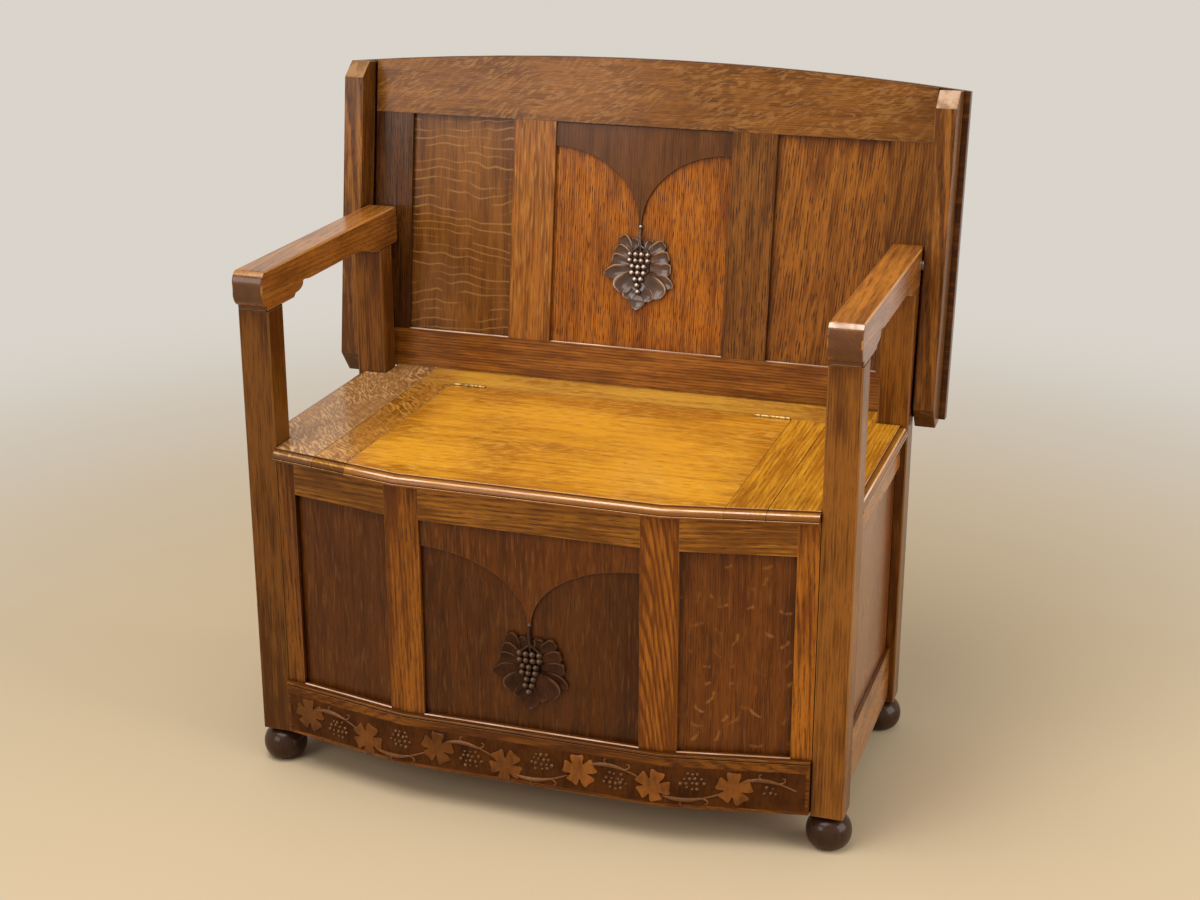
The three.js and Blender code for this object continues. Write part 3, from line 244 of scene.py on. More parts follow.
@dataclass(frozen=True)
class Figure:
    """How a board was cut from the log, and the rays that the cut shows."""

    ring: float = 4.0 * MM  # width of a year's growth
    contrast: float = 0.35
    pith: Point = (0.16, 0.05)  # the log's heart, across the face and behind it
    slope: float = 0.0  # how fast the heart runs out of the board's length
    warp: float = 5 * MM
    pores: float = 0.75
    streaks: float = 0.55
    mottle: float = 0.4
    lines: float = 0.0  # wavy rays across the grain
    line_pitch: float = 10 * MM
    dashes: float = 0.0  # short slanting rays
    dash_angle: float = 0.45
    dash_size: float = 1.0
    flakes: float = 0.0  # scattered rays, one to a cell
    flake_cell: float = 14 * MM
    flames: float = 0.0  # long pale streaks with the grain
    lean: float = 0.0  # how far the grain runs askew on the face
    plank: float = 1.0  # width of the planks that it is glued up from
    rim: float = 0.2  # how much darker the board is towards its edges
    # A board's darker sides are partly darker stain and partly painted shade.
    edge: float = 0.25  # how much darker its sides are than its face


PLAIN = Figure()
QUIET = Figure(contrast=0.2, pores=0.45, streaks=0.4, mottle=0.3)


class Sockets:
    """Lays nodes into one tree, links them and hands back their outputs."""

    def __init__(self, tree: bpy.types.NodeTree) -> None:
        """Works on the given tree."""
        self.tree = tree

    def put(self, socket: Socket, value: object) -> None:
        """Links a socket to another, or sets it to a plain value.

        Args:
            socket: the input to fill.
            value: an output socket, a number, or a tuple.
        """
        if isinstance(value, Socket):
            self.tree.links.new(value, socket)
        elif socket.type == "RGBA" and len(value) == 3:
            socket.default_value = (*value, 1.0)
        else:
            socket.default_value = value

    def node(self, kind: str, inputs: dict | None = None, **settings: object) -> bpy.types.Node:
        """Adds a node.

        Args:
            kind: the node's type name.
            inputs: values or links by input name or index.
            **settings: the node's own settings.

        Returns:
            The new node.
        """
        made = self.tree.nodes.new(kind)
        for name, value in settings.items():
            setattr(made, name, value)
        for key, value in (inputs or {}).items():
            self.put(made.inputs[key], value)
        return made

    def math(self, operation: str, *values: object) -> Socket:
        """Adds a Math node on up to three values."""
        return self.node("ShaderNodeMath", dict(enumerate(values)), operation=operation).outputs[0]

    def scaled(self, value: object, factor: object, base: object = 0.0) -> Socket:
        """Multiplies a value by a factor and adds a base."""
        return self.math("MULTIPLY_ADD", value, factor, base)

    def vector(self, operation: str, a: object, b: object) -> Socket:
        """Adds a Vector Math node on two vectors."""
        return self.node("ShaderNodeVectorMath", {0: a, 1: b}, operation=operation).outputs[0]

    def dot(self, a: object, b: object) -> Socket:
        """Adds a Vector Math node for a dot product."""
        return self.node("ShaderNodeVectorMath", {0: a, 1: b}, operation="DOT_PRODUCT").outputs["Value"]

    def span(self, value: object, low: object, high: object, to: Point = (0.0, 1.0)) -> Socket:
        """Maps a value's range to another with soft ends.

        Args:
            value: what is mapped.
            low: where the range starts.
            high: where the range ends.
            to: the values at the two ends.

        Returns:
            The mapped value.
        """
        made = self.node("ShaderNodeMapRange", {0: value, 1: low, 2: high, 3: to[0], 4: to[1]})
        made.interpolation_type = "SMOOTHSTEP"
        return made.outputs[0]

    def noise(self, place: object, stretch: Sequence[float], detail: float = 2.0) -> Socket:
        """Adds a noise, drawn out along the axes.

        Args:
            place: the vector that it reads.
            stretch: cells per metre along each axis.
            detail: finer layers on top.

        Returns:
            The noise, from 0 to 1.
        """
        drawn = self.vector("MULTIPLY", place, tuple(stretch))
        inputs = {"Vector": drawn, "Scale": 1.0, "Detail": detail, "Roughness": 0.55}
        return self.node("ShaderNodeTexNoise", inputs).outputs["Fac"]

    def chance(self, number: object) -> Socket:
        """Gives each whole number a value of its own, from 0 to 1."""
        return self.node("ShaderNodeTexWhiteNoise", {"W": number}, noise_dimensions="1D").outputs["Value"]

    def blend(self, share: object, a: object, b: object) -> Socket:
        """Mixes two colours by a share."""
        made = self.node("ShaderNodeMix", data_type="RGBA")
        for key, value in ((0, share), (6, a), (7, b)):
            self.put(made.inputs[key], value)
        return made.outputs[2]

    def parts(self, vector: object) -> tuple:
        """Splits a vector into its three numbers."""
        return tuple(self.node("ShaderNodeSeparateXYZ", {0: vector}).outputs)

    def joined(self, x: object, y: object, z: object) -> Socket:
        """Joins three numbers into a vector."""
        return self.node("ShaderNodeCombineXYZ", {0: x, 1: y, 2: z}).outputs[0]


class Surface(Sockets):
    """A material with one Principled shader, and the nodes that feed it."""

    BUMP_DEPTH = 0.12 * MM

    def __init__(self, name: str) -> None:
        """Starts the material of the given name."""
        self.material = bpy.data.materials.new(name)
        self.material.use_nodes = True
        super().__init__(self.material.node_tree)
        self.shader = self.tree.nodes["Principled BSDF"]

    def feed(self, **values: object) -> None:
        """Feeds the shader's inputs, each named with underscores for its spaces."""
        for name, value in values.items():
            self.put(self.shader.inputs[name.replace("_", " ")], value)

    def bumps(self, height: object, strength: float, depth: float = BUMP_DEPTH) -> None:
        """Adds fine relief.

        Args:
            height: the pattern.
            strength: how fully it shows.
            depth: how deep it goes.
        """
        bump = self.node("ShaderNodeBump", {"Height": height, "Strength": strength, "Distance": depth})
        self.feed(Normal=bump.outputs[0])

    def polish(self, finish: OakFinish, colour: object, roughness: object, height: object) -> None:
        """Gives wood its colour, its pores and its polish.

        Args:
            finish: tells the polish.
            colour: the wood's colour.
            roughness: the polish's roughness.
            height: the grain's relief.
        """
        self.feed(
            Base_Color=colour, Roughness=roughness, Specular_IOR_Level=finish.gloss, Coat_Weight=finish.coat,
            Coat_Roughness=finish.coat_roughness)
        self.bumps(height, finish.bump)

    def worn(self) -> Socket:
        """Reads how worn each face is: above 0 rubbed pale and painted highlights, below 0 painted shade and
        the darker stain of some vine leaves.
        """
        return self.node("ShaderNodeAttribute", attribute_name=WEAR_STAIN_AND_LIGHT).outputs["Fac"]


class OakGroup:
    """The shared node group that grows oak: rings, pores, fibres, stain and rays."""

    # Inputs that take a field of the figure, of the finish, or a value of the board
    FIGURE = tuple(part.name for part in fields(Figure) if part.name not in ("pith", "lean"))
    COLOURS = ("light", "dark", "pore", "ray")
    OWN = ("pith_across", "pith_depth", "half_length", "half_width", "end", "side", "worn", "roughness")

    # The pale colour of the painted highlights on sills, noses and moulding ridges
    SILL_POLISH = (0.86, 0.64, 0.50)
    # The near-black of grime and painted shade in corners and joints
    DIRT = (0.012, 0.005, 0.002)
    DIRT_REACH = 9 * MM  # how far into a corner grime and painted shade reach
    DASH_BOW = 0.3  # how fast the slanting rays flatten along a board
    MEAN_TONE = 0.24
    STREAK_DEPTH = 4.2
    MOTTLE_DEPTH = 3.2
    PLANK_DEPTH = 0.35  # how much one plank differs from the next
    PLANKS_APART = 0.77  # how far one plank's figure is moved from the next's

    def __init__(self) -> None:
        """Builds the group once."""
        self.tree = bpy.data.node_groups.new("oak_figure", "ShaderNodeTree")
        sockets = (
            ("INPUT", "NodeSocketVector", ("place", "seed")),
            ("INPUT", "NodeSocketFloat", (*self.FIGURE, *self.OWN)),
            ("INPUT", "NodeSocketColor", self.COLOURS),
            ("OUTPUT", "NodeSocketColor", ("Colour",)),
            ("OUTPUT", "NodeSocketFloat", ("Roughness", "Height")),
        )
        for way, kind, names in sockets:
            for name in names:
                self.tree.interface.new_socket(name, in_out=way, socket_type=kind)
        self.lay = lay = Sockets(self.tree)
        self.given = given = lay.node("NodeGroupInput").outputs
        x, y, z = lay.parts(given["place"])
        planks = lay.math("ADD", lay.math("DIVIDE", y, given["plank"]), 0.5)
        self.plank = lay.math("FLOOR", planks)
        self.seam = lay.math("ABSOLUTE", lay.math("SUBTRACT", lay.math("FRACT", planks), 0.5))
        self.place = lay.joined(x, lay.math("SUBTRACT", y, lay.scaled(self.plank, given["plank"])), z)
        apart = lay.scaled(self.plank, self.PLANKS_APART)
        seed = lay.vector("ADD", given["seed"], lay.joined(apart, apart, apart))
        self.moved = lay.vector("ADD", self.place, seed)
        self._finish()

    def _rings(self) -> tuple:
        """Grows the year rings.

        Returns:
            The porous early wood from 0 to 1, and a tone that differs from ring to ring.
        """
        lay, given = self.lay, self.given
        x, y, z = lay.parts(self.place)
        sway = lay.math("SUBTRACT", lay.noise(self.moved, (2.4, 11, 11)), 0.5)
        wander = lay.scaled(sway, given["warp"])
        across = lay.math("ADD", lay.math("SUBTRACT", y, given["pith_across"]), wander)
        runout = lay.scaled(x, given["slope"], given["pith_depth"])
        behind = lay.math("ADD", z, runout)
        squares = lay.scaled(across, across, lay.scaled(behind, behind))
        wobble = lay.scaled(lay.noise(self.moved, (9, 120, 120), 1.0), 0.5)
        year = lay.math("ADD", lay.math("DIVIDE", lay.math("SQRT", squares), given["ring"]), wobble)
        turn = lay.math("FRACT", year)
        early = lay.scaled(lay.span(turn, 0.0, 0.12), lay.span(turn, 0.3, 0.62, (1.0, 0.0)))
        return early, lay.chance(lay.math("FLOOR", year))

    def _turned(self, x: object, y: object, angle: object) -> tuple:
        """Turns a pair of numbers by an angle.

        Args:
            x: the first number.
            y: the second number.
            angle: in radians.

        Returns:
            The turned pair.
        """
        lay = self.lay
        cos, sin = lay.math("COSINE", angle), lay.math("SINE", angle)
        along = lay.scaled(x, cos, lay.scaled(y, sin))
        aside = lay.math("SUBTRACT", lay.scaled(y, cos), lay.scaled(x, sin))
        return along, aside

    def _ray_lines(self) -> Socket:
        """Draws thin wavy rays across the grain, broken here and there."""
        lay, given = self.lay, self.given
        x = lay.parts(self.moved)[0]
        sway = lay.noise(self.moved, (13, 6, 6), 1.0)
        ripple = lay.noise(self.moved, (9, 24, 24), 1.0)
        even = lay.scaled(ripple, 1.5, lay.math("DIVIDE", x, given["line_pitch"]))
        row = lay.math("FRACT", lay.scaled(sway, 2.6, even))
        near = lay.math("ABSOLUTE", lay.math("SUBTRACT", row, 0.5))
        line = lay.span(near, 0.15, 0.0)
        broken = lay.span(lay.noise(self.moved, (70, 9, 9), 1.0), 0.38, 0.56)
        return lay.scaled(lay.scaled(line, broken), given["lines"])

    def _ray_dashes(self) -> Socket:
        """Draws short rays that slant across the grain, in drifts."""
        lay, given = self.lay, self.given
        x, y, z = lay.parts(self.place)
        bend = lay.math("SUBTRACT", lay.noise(self.moved, (10, 16, 16), 1.0), 0.5)
        swayed = lay.scaled(bend, 0.05, y)
        slope = lay.scaled(x, -self.DASH_BOW, lay.math("TANGENT", given["dash_angle"]))
        aside = lay.math("SUBTRACT", swayed, lay.scaled(x, slope))
        size = given["dash_size"]
        drawn = lay.joined(*(lay.math("DIVIDE", part, size) for part in (x, aside, z)))
        drawn = lay.vector("ADD", drawn, given["seed"])
        dash = lay.span(lay.noise(drawn, (52, 185, 52), 3.0), 0.46, 0.62)
        drift = lay.span(lay.noise(self.moved, (9, 18, 18), 1.0), 0.36, 0.6, (0.35, 1.0))
        return lay.scaled(lay.scaled(dash, drift), given["dashes"])

    def _ray_flakes(self) -> Socket:
        """Drops one ray into each cell, turned and sized at random."""
        lay, given = self.lay, self.given
        grown = lay.node("ShaderNodeVectorMath", {0: self.moved}, operation="SCALE")
        lay.put(grown.inputs["Scale"], lay.math("DIVIDE", 1.0, given["flake_cell"]))
        cells = lay.node(
            "ShaderNodeTexVoronoi", {"Vector": grown.outputs[0], "Scale": 1.0}, voronoi_dimensions="2D")
        offset = lay.vector("SUBTRACT", grown.outputs[0], cells.outputs["Position"])
        first, second, third = lay.parts(cells.outputs["Color"])
        x, y, _ = lay.parts(offset)
        angle = lay.scaled(first, 2.6, 0.3)
        along, aside = self._turned(x, y, angle)
        reach = lay.scaled(second, 0.34, 0.14)
        bow = lay.scaled(lay.scaled(along, along), 0.5)
        length = lay.span(lay.math("DIVIDE", lay.math("ABSOLUTE", along), reach), 1.0, 0.6)
        ragged = lay.scaled(lay.noise(self.moved, (130, 130, 130), 3.0), 0.3)
        off = lay.math("ABSOLUTE", lay.math("ADD", aside, bow))
        width = lay.span(lay.math("ADD", off, ragged), 0.27, 0.13)
        kept = lay.span(third, 0.25, 0.95)
        flake = lay.scaled(lay.scaled(length, width), kept)
        return lay.scaled(flake, given["flakes"])

    def _border(self, blotch: Socket) -> Socket:
        """Finds how near a place lies to the board's rim, from 0 in the middle to 1.

        Args:
            blotch: a noise that makes the border uneven.

        Returns:
            The nearness.
        """
        lay = self.lay
        x, y, _ = lay.parts(self.given["place"])
        long = lay.math("DIVIDE", lay.math("ABSOLUTE", x), self.given["half_length"])
        wide = lay.math("DIVIDE", lay.math("ABSOLUTE", y), self.given["half_width"])
        reach = lay.math("MAXIMUM", lay.span(long, 0.78, 1.0), lay.span(wide, 0.62, 1.0))
        return lay.scaled(reach, lay.scaled(blotch, 1.6, 0.2))

    def _rays(self) -> Socket:
        """Gathers the rays of every kind, with the long pale flames."""
        lay = self.lay
        flames = lay.span(lay.noise(self.moved, (26, 250, 250), 1.0), 0.54, 0.72)
        flames = lay.scaled(flames, self.given["flames"])
        rays = lay.math("MAXIMUM", self._ray_lines(), self._ray_dashes())
        return lay.math("MAXIMUM", rays, lay.math("MAXIMUM", self._ray_flakes(), flames))

    def _plank_tone(self) -> Socket:
        """Gives each plank but the middle one a tone of its own."""
        off_middle = self.lay.math("MINIMUM", self.lay.math("ABSOLUTE", self.plank), 1.0)
        return self.lay.scaled(self.lay.chance(self.plank), off_middle)

    def _tone(self, rings: object, fibre: object, blotch: object, patch: object) -> Socket:
        """Adds up how dark each place is.

        Args:
            rings: the year rings.
            fibre: the finest streaks.
            blotch: short soft streaks.
            patch: broad patches of stain, about 0.

        Returns:
            The tone, from 0 for light to 1 for dark.
        """
        lay, given = self.lay, self.given
        strands = lay.noise(self.moved, (6, 125, 125), 2.0)
        grain = lay.scaled(fibre, 0.6, lay.scaled(strands, 0.6))
        grain = lay.math("SUBTRACT", lay.scaled(blotch, 0.6, grain), 0.9)
        streaks = lay.scaled(given["streaks"], self.STREAK_DEPTH)
        mottle = lay.scaled(given["mottle"], self.MOTTLE_DEPTH)
        tone = lay.scaled(rings, given["contrast"], self.MEAN_TONE)
        tone = lay.scaled(grain, streaks, tone)
        tone = lay.scaled(patch, mottle, tone)
        tone = lay.scaled(self._border(blotch), given["rim"], tone)
        tone = lay.scaled(self._plank_tone(), self.PLANK_DEPTH, tone)
        return lay.node("ShaderNodeClamp", {0: tone}).outputs[0]

    def _darkened(self, colour: object) -> Socket:
        """Darkens a colour at the board's seams and ends, at its sides with darker stain and painted shade,
        and in its hollows with painted shade.
        """
        lay, given = self.lay, self.given
        shares = (
            # sides: darker stain, and painted shade on faces turned from the light
            lay.scaled(lay.span(given["side"], 0.2, 0.7), given["edge"]),
            lay.span(self.seam, 0.4925, 0.4965, (0.0, 0.8)),
            # painted shade where worn is below 0: moulding hollows and the skin behind the front sill line
            lay.scaled(given["worn"], -0.85),
            lay.span(given["end"], 0.6, 0.95, (0.0, 0.75)),
        )
        for share in shares:
            colour = lay.blend(share, colour, given["pore"])
        return colour

    def _handled(self, colour: object, blotch: object, stain: object) -> Socket:
        """Rubs the worn places pale, paints highlights on ledges, noses and moulded ridges, and darkens the
        corners with grime and painted shade.

        Args:
            colour: the wood's colour.
            blotch: makes the rubbing and the painted highlights uneven.
            stain: makes the grime and painted shade uneven.

        Returns:
            The colour with its wear, its painted highlights and its painted shade.
        """
        lay, given = self.lay, self.given
        # Paler where worn is above 0: rubbing, and from 0.6 up the colour of a painted highlight
        rubbed = lay.scaled(lay.span(blotch, 0.38, 0.6, (0.4, 1.0)), given["worn"])
        polish = lay.blend(lay.span(given["worn"], 0.6, 0.9), given["ray"], self.SILL_POLISH)
        colour = lay.blend(rubbed, colour, polish)
        # Ambient occlusion: the dark in corners and joints is painted shade as well as grime
        corners = lay.node("ShaderNodeAmbientOcclusion", {"Distance": self.DIRT_REACH}, samples=5)
        grime_and_shade = lay.span(lay.scaled(stain, 0.25, corners.outputs["AO"]), 0.86, 0.42)
        grime_and_shade = lay.scaled(grime_and_shade, lay.scaled(given["worn"], -0.8, 0.85))
        return lay.blend(grime_and_shade, colour, self.DIRT)

    def _finish(self) -> None:
        """Mixes the parts of the figure into colour, roughness and height."""
        lay, given = self.lay, self.given
        early, year_tone = self._rings()
        fibre = lay.noise(self.moved, (22, 460, 460), 3.0)
        blotch = lay.noise(self.moved, (12, 52, 52), 2.0)
        stain = lay.noise(self.moved, (4.5, 9, 9), 2.0)
        patch = lay.math("SUBTRACT", stain, 0.5)
        rings = lay.math("ADD", early, lay.scaled(year_tone, 0.5))
        rays = self._rays()
        pits = lay.span(lay.noise(self.moved, (52, 600, 600), 1.0), 0.51, 0.62)
        porous = lay.scaled(early, 0.6, 0.4)
        pits = lay.scaled(lay.scaled(pits, porous), given["pores"])
        pits = lay.scaled(pits, lay.scaled(rays, -0.8, 1.0))
        colour = lay.blend(self._tone(rings, fibre, blotch, patch), given["light"], given["dark"])
        colour = lay.blend(rays, colour, given["ray"])
        colour = lay.blend(pits, colour, given["pore"])
        colour = self._handled(self._darkened(colour), blotch, stain)
        rough = lay.scaled(pits, 0.12, given["roughness"])
        rough = lay.scaled(patch, 0.16, rough)
        height = lay.math("SUBTRACT", lay.scaled(fibre, 0.35), pits)
        out = lay.node("NodeGroupOutput")
        for name, value in (("Colour", colour), ("Roughness", rough), ("Height", height)):
            lay.put(out.inputs[name], value)


@dataclass(frozen=True)
class Board:
    """One piece of oak: how its grain lies, its finish and its figure."""

    node: str
    grain: Way
    face: Way
    finish: OakFinish
    figure: Figure = PLAIN
    shade: float = 1.0
    ease: float = 0.5 * MM
    sill: float = 0.0  # how strong a painted highlight its upper faces get
    moulded: float = 0.0  # how strong a painted highlight the ridges of its moulded edge get, over painted shade in its hollows
    polished: float = 0.0  # how strong a painted highlight its faces that look up and forward get

    def frame_of(self) -> Matrix:
        """Gives the turn that lays the grain along x, the width along y and the face towards z."""
        along, out = Vector(self.grain.value), Vector(self.face.value)
        return Matrix((along, out.cross(along), out))


class Materials:
    """Makes the materials: an oak of its own for each board, and those that several pieces share."""

    SCRATCH_DEPTH = 0.05 * MM

    def __init__(self) -> None:
        """Grows the shared oak group."""
        self.oak = OakGroup()

    def oak_for(self, board: Board, centre: Vector, half: Vector) -> Material:
        """Makes a board's own oak.

        Args:
            board: the board.
            centre: the middle of the board, where its own coordinates start.
            half: half its length, width and thickness.

        Returns:
            The material.
        """
        finish, figure = board.finish, board.figure
        lay = Surface(f"{finish.name}_{board.node}")
        draw = random.Random(board.node)
        turn = Matrix.Rotation(figure.lean, 3, "Z") @ board.frame_of()
        where = lay.node("ShaderNodeTexCoord").outputs
        place = lay.node("ShaderNodeMapping", {
            "Vector": where["Object"], "Rotation": turn.to_euler("XYZ"), "Location": -(turn @ centre)})
        ways = (board.grain, board.face)
        end, front = (lay.math("ABSOLUTE", lay.dot(where["Normal"], way.value)) for way in ways)
        values = {
            "place": place.outputs[0],
            "seed": tuple(draw.uniform(2.0, 9.0) for _ in range(3)),
            "pith_across": figure.pith[0],
            "pith_depth": figure.pith[1],
            "half_length": half.x,
            "half_width": half.y,
            "end": end,
            "side": lay.math("SUBTRACT", 1.0, front),
            "worn": lay.worn(),
            "roughness": finish.roughness,
        }
        values |= {name: getattr(figure, name) for name in OakGroup.FIGURE}
        for name in OakGroup.COLOURS:
            values[name] = tuple(min(1.0, share * board.shade) for share in getattr(finish, name))
        grown = lay.node("ShaderNodeGroup", node_tree=self.oak.tree)
        for name, value in values.items():
            lay.put(grown.inputs[name], value)
        lay.polish(finish, *(grown.outputs[name] for name in ("Colour", "Roughness", "Height")))
        return lay.material

    def carved(self, finish: OakFinish) -> Material:
        """Makes the dark polish of the carvings and feet, with painted highlights along its ridges and
        painted shade in its hollows.

        Args:
            finish: its colours and gloss.

        Returns:
            The material.
        """
        lay = Surface(f"{finish.name}_polish")
        place = lay.node("ShaderNodeTexCoord").outputs["Object"]
        grain = lay.noise(place, (260, 260, 60), 3.0)
        stain = lay.noise(place, (30, 30, 30), 2.0)
        tone = lay.span(lay.scaled(stain, 0.6, lay.scaled(grain, 0.4)), 0.3, 0.7)
        colour = lay.blend(tone, finish.light, finish.dark)
        worn = lay.worn()
        # painted highlight where worn is above 0: leaf rims and berry tops
        colour = lay.blend(lay.scaled(worn, lay.span(stain, 0.2, 0.6, (0.6, 1.0))), colour, finish.ray)
        # painted shade in hollows, from the pointiness; where worn is below 0, the darker stain of some vine
        # leaves
        hollow = lay.span(lay.node("ShaderNodeNewGeometry").outputs["Pointiness"], 0.49, 0.42)
        hollow = lay.math("MAXIMUM", lay.scaled(hollow, 0.8), lay.scaled(worn, -1.0))
        colour = lay.blend(hollow, colour, finish.pore)
        lay.polish(finish, colour, lay.scaled(grain, 0.15, finish.roughness - 0.05), grain)
        return lay.material

    def metal(self, name: str, bright: Colour, tarnished: Colour, roughness: float) -> Material:
        """Makes a handled metal with tarnish and fine scratches.

        Args:
            name: the material's name.
            bright: the rubbed metal.
            tarnished: the dull metal.
            roughness: of the rubbed metal.

        Returns:
            The material.
        """
        lay = Surface(name)
        place = lay.node("ShaderNodeTexCoord").outputs["Object"]
        dull = lay.span(lay.noise(place, (160, 160, 160), 3.0), 0.42, 0.66)
        rough = lay.scaled(dull, 0.3, roughness)
        lay.feed(Base_Color=lay.blend(dull, bright, tarnished), Roughness=rough, Metallic=1.0)
        lay.bumps(lay.noise(place, (90, 1400, 1400), 2.0), 0.2, self.SCRATCH_DEPTH)
        return lay.material


class Shapes:
    """Mesh work that the sub-assemblies share."""

    # Eased edges are paler: rubbing, and a painted highlight
    ARRIS_WEAR = 0.55
    WELD = 0.005 * MM
    FLAT = math.radians(0.5)  # triangles that turn less than this are one face

    @staticmethod
    def piece(name: str, mesh: MeshWork, crease_deg: float = 40.0) -> Piece:
        """Turns finished mesh work into an object with smooth faces and crisp creases.

        Args:
            name: the piece's name.
            mesh: the mesh work, which is freed.
            crease_deg: edges that turn more than this stay crisp.

        Returns:
            The object.
        """
        bmesh.ops.recalc_face_normals(mesh, faces=mesh.faces)
        for face in mesh.faces:
            face.smooth = True
        for edge in mesh.edges:
            edge.smooth = not edge.is_manifold or edge.calc_face_angle(0.0) < math.radians(crease_deg)
        data = bpy.data.meshes.new(name)
        mesh.to_mesh(data)
        mesh.free()
        return stand(name, data)

    @staticmethod
    def band(mesh: MeshWork, near: Sequence[Corner], far: Sequence[Corner]) -> list[Face]:
        """Joins two rings by a band of faces.

        Args:
            mesh: the mesh work.
            near: the first ring.
            far: the second, as long as the first.

        Returns:
            The faces.
        """
        turned = [(*near[1:], near[0]), (*far[1:], far[0])]
        return [mesh.faces.new((a, b, d, c)) for a, b, c, d in zip(near, turned[0], far, turned[1])]

    @classmethod
    def eased_copy(
        cls, node: str, ease: float, sharpest_deg: float = 40.0, wear: Callable[..., float] | None = None,
    ) -> Piece:
        """Copies a node, merges its loose triangles and eases its outer edges, which are marked as worn and
        painted pale as a highlight.

        Args:
            node: the node's name.
            ease: width of the easing.
            sharpest_deg: outer edges that turn more than this are eased.
            wear: tells how worn a face is, and what light is painted on it, from the face and whether it is
                an eased edge.

        Returns:
            The copy, as a new piece.
        """
        mesh = bmesh.new()
        mesh.from_mesh(frame["nodes"][node].data)
        bmesh.ops.remove_doubles(mesh, verts=mesh.verts, dist=cls.WELD)
        bmesh.ops.dissolve_limit(mesh, angle_limit=cls.FLAT, verts=mesh.verts, edges=mesh.edges)
        shortest = 5 * ease
        edges = [
            edge for edge in mesh.edges
            if edge.is_manifold and edge.calc_length() > shortest
            and edge.calc_face_angle_signed() > math.radians(sharpest_deg)
        ]
        bmesh.ops.bevel(
            mesh, geom=edges, offset=ease, offset_type="OFFSET", segments=2, profile=0.5, affect="EDGES",
            clamp_overlap=True, material=1)
        worn = mesh.faces.layers.float.new(WEAR_STAIN_AND_LIGHT)
        mesh.normal_update()
        for face in mesh.faces:
            eased = bool(face.material_index)
            face[worn] = wear(face, eased) if wear else cls.ARRIS_WEAR * eased
            face.material_index = 0
        made = cls.piece(f"{node}_finished", mesh)
        made.modifiers.new("even_normals", "WEIGHTED_NORMAL").keep_sharp = True
        return made

    @classmethod
    def turned(cls, name: str, profile: Sequence[Point], centre: Vector, sides: int) -> Piece:
        """Turns a profile about an upright axis.

        Args:
            name: the piece's name.
            profile: radius and height, from the lower end of the axis to the upper.
            centre: foot of the axis.
            sides: faces round the axis.

        Returns:
            The turned piece.
        """
        mesh = bmesh.new()
        angles = [math.tau * i / sides for i in range(sides)]
        rings = [
            [
                mesh.verts.new(centre + Vector((radius * math.cos(angle), radius * math.sin(angle), height)))
                for angle in angles
            ]
            for radius, height in profile
        ]
        for low, high in zip(rings, rings[1:]):
            cls.band(mesh, low, high)
        mesh.faces.new(rings[0][::-1])
        mesh.faces.new(rings[-1])
        return cls.piece(name, mesh)


def deliver(piece: Piece, body: str, replaced: Iterable[str] = ()) -> None:
    """Hands a finished piece to the frame.

    Args:
        piece: the piece.
        body: the body that it rides on.
        replaced: nodes that it stands for.
    """
    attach(piece, body)
    names = tuple(replaced)
    if names:
        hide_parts(*names)
    LOG.info("%s rides on %s with %d faces", piece.name, body, len(piece.data.polygons))


def body_of(node: str) -> str:
    """Names the body that a node rides on."""
    return frame["nodes"][node]["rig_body"]


def clear_spans(uprights: Sequence[str]) -> list[Point]:
    """Finds the clear widths between uprights.

    Args:
        uprights: their nodes, from left to right.

    Returns:
        From where to where each opening runs along x.
    """
    boxes = [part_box(node) for node in uprights]
    return [(near[1].x, far[0].x) for near, far in zip(boxes, boxes[1:])]


@dataclass(frozen=True)
class Sill:
    """A painted highlight: the thin pale line along the ledge under the panels."""

    DARK: ClassVar[float] = -0.75  # painted shadow on the skin between the panels and the line
    SUNK: ClassVar[float] = -0.5 * MM  # height of both undersides
    LET_IN: ClassVar[float] = -0.3 * MM  # where the skin starts, behind the panels' face
    FRONT_HEIGHT: ClassVar[float] = 0.1 * MM
    LINE_HEIGHT: ClassVar[float] = 1.0 * MM  # at its back
    SKIN_HEIGHT: ClassVar[float] = 0.4 * MM  # at its back
    name: str
    spans: Sequence[Point]  # from where to where it runs along x
    reach: Point  # from how far to how far in front of the panels
    place: Callable[[float, float, float], Vector]  # a point from its x, its way out and its height
    rubbed: float = 1.0  # how bright its painted highlight is

    def mesh(self) -> MeshWork:
        """Makes a low wedge along each span, with a skin of painted shadow between it and the panel."""
        start, end = self.reach
        wedges = [(start, end, self.LINE_HEIGHT, self.rubbed)]
        if start > 0:
            wedges.append((self.LET_IN, start, self.SKIN_HEIGHT, self.DARK))
        mesh = bmesh.new()
        worn = mesh.faces.layers.float.new(WEAR_STAIN_AND_LIGHT)
        for span in self.spans:
            for back, front, height, wear in wedges:
                rim = ((back, self.SUNK), (front, self.SUNK), (front, self.FRONT_HEIGHT), (back, height))
                near, far = ([mesh.verts.new(self.place(x, out, up)) for out, up in rim] for x in span)
                ends = [mesh.faces.new(near[::-1]), mesh.faces.new(far)]
                for face in Shapes.band(mesh, near, far) + ends:
                    face[worn] = wear
        return mesh


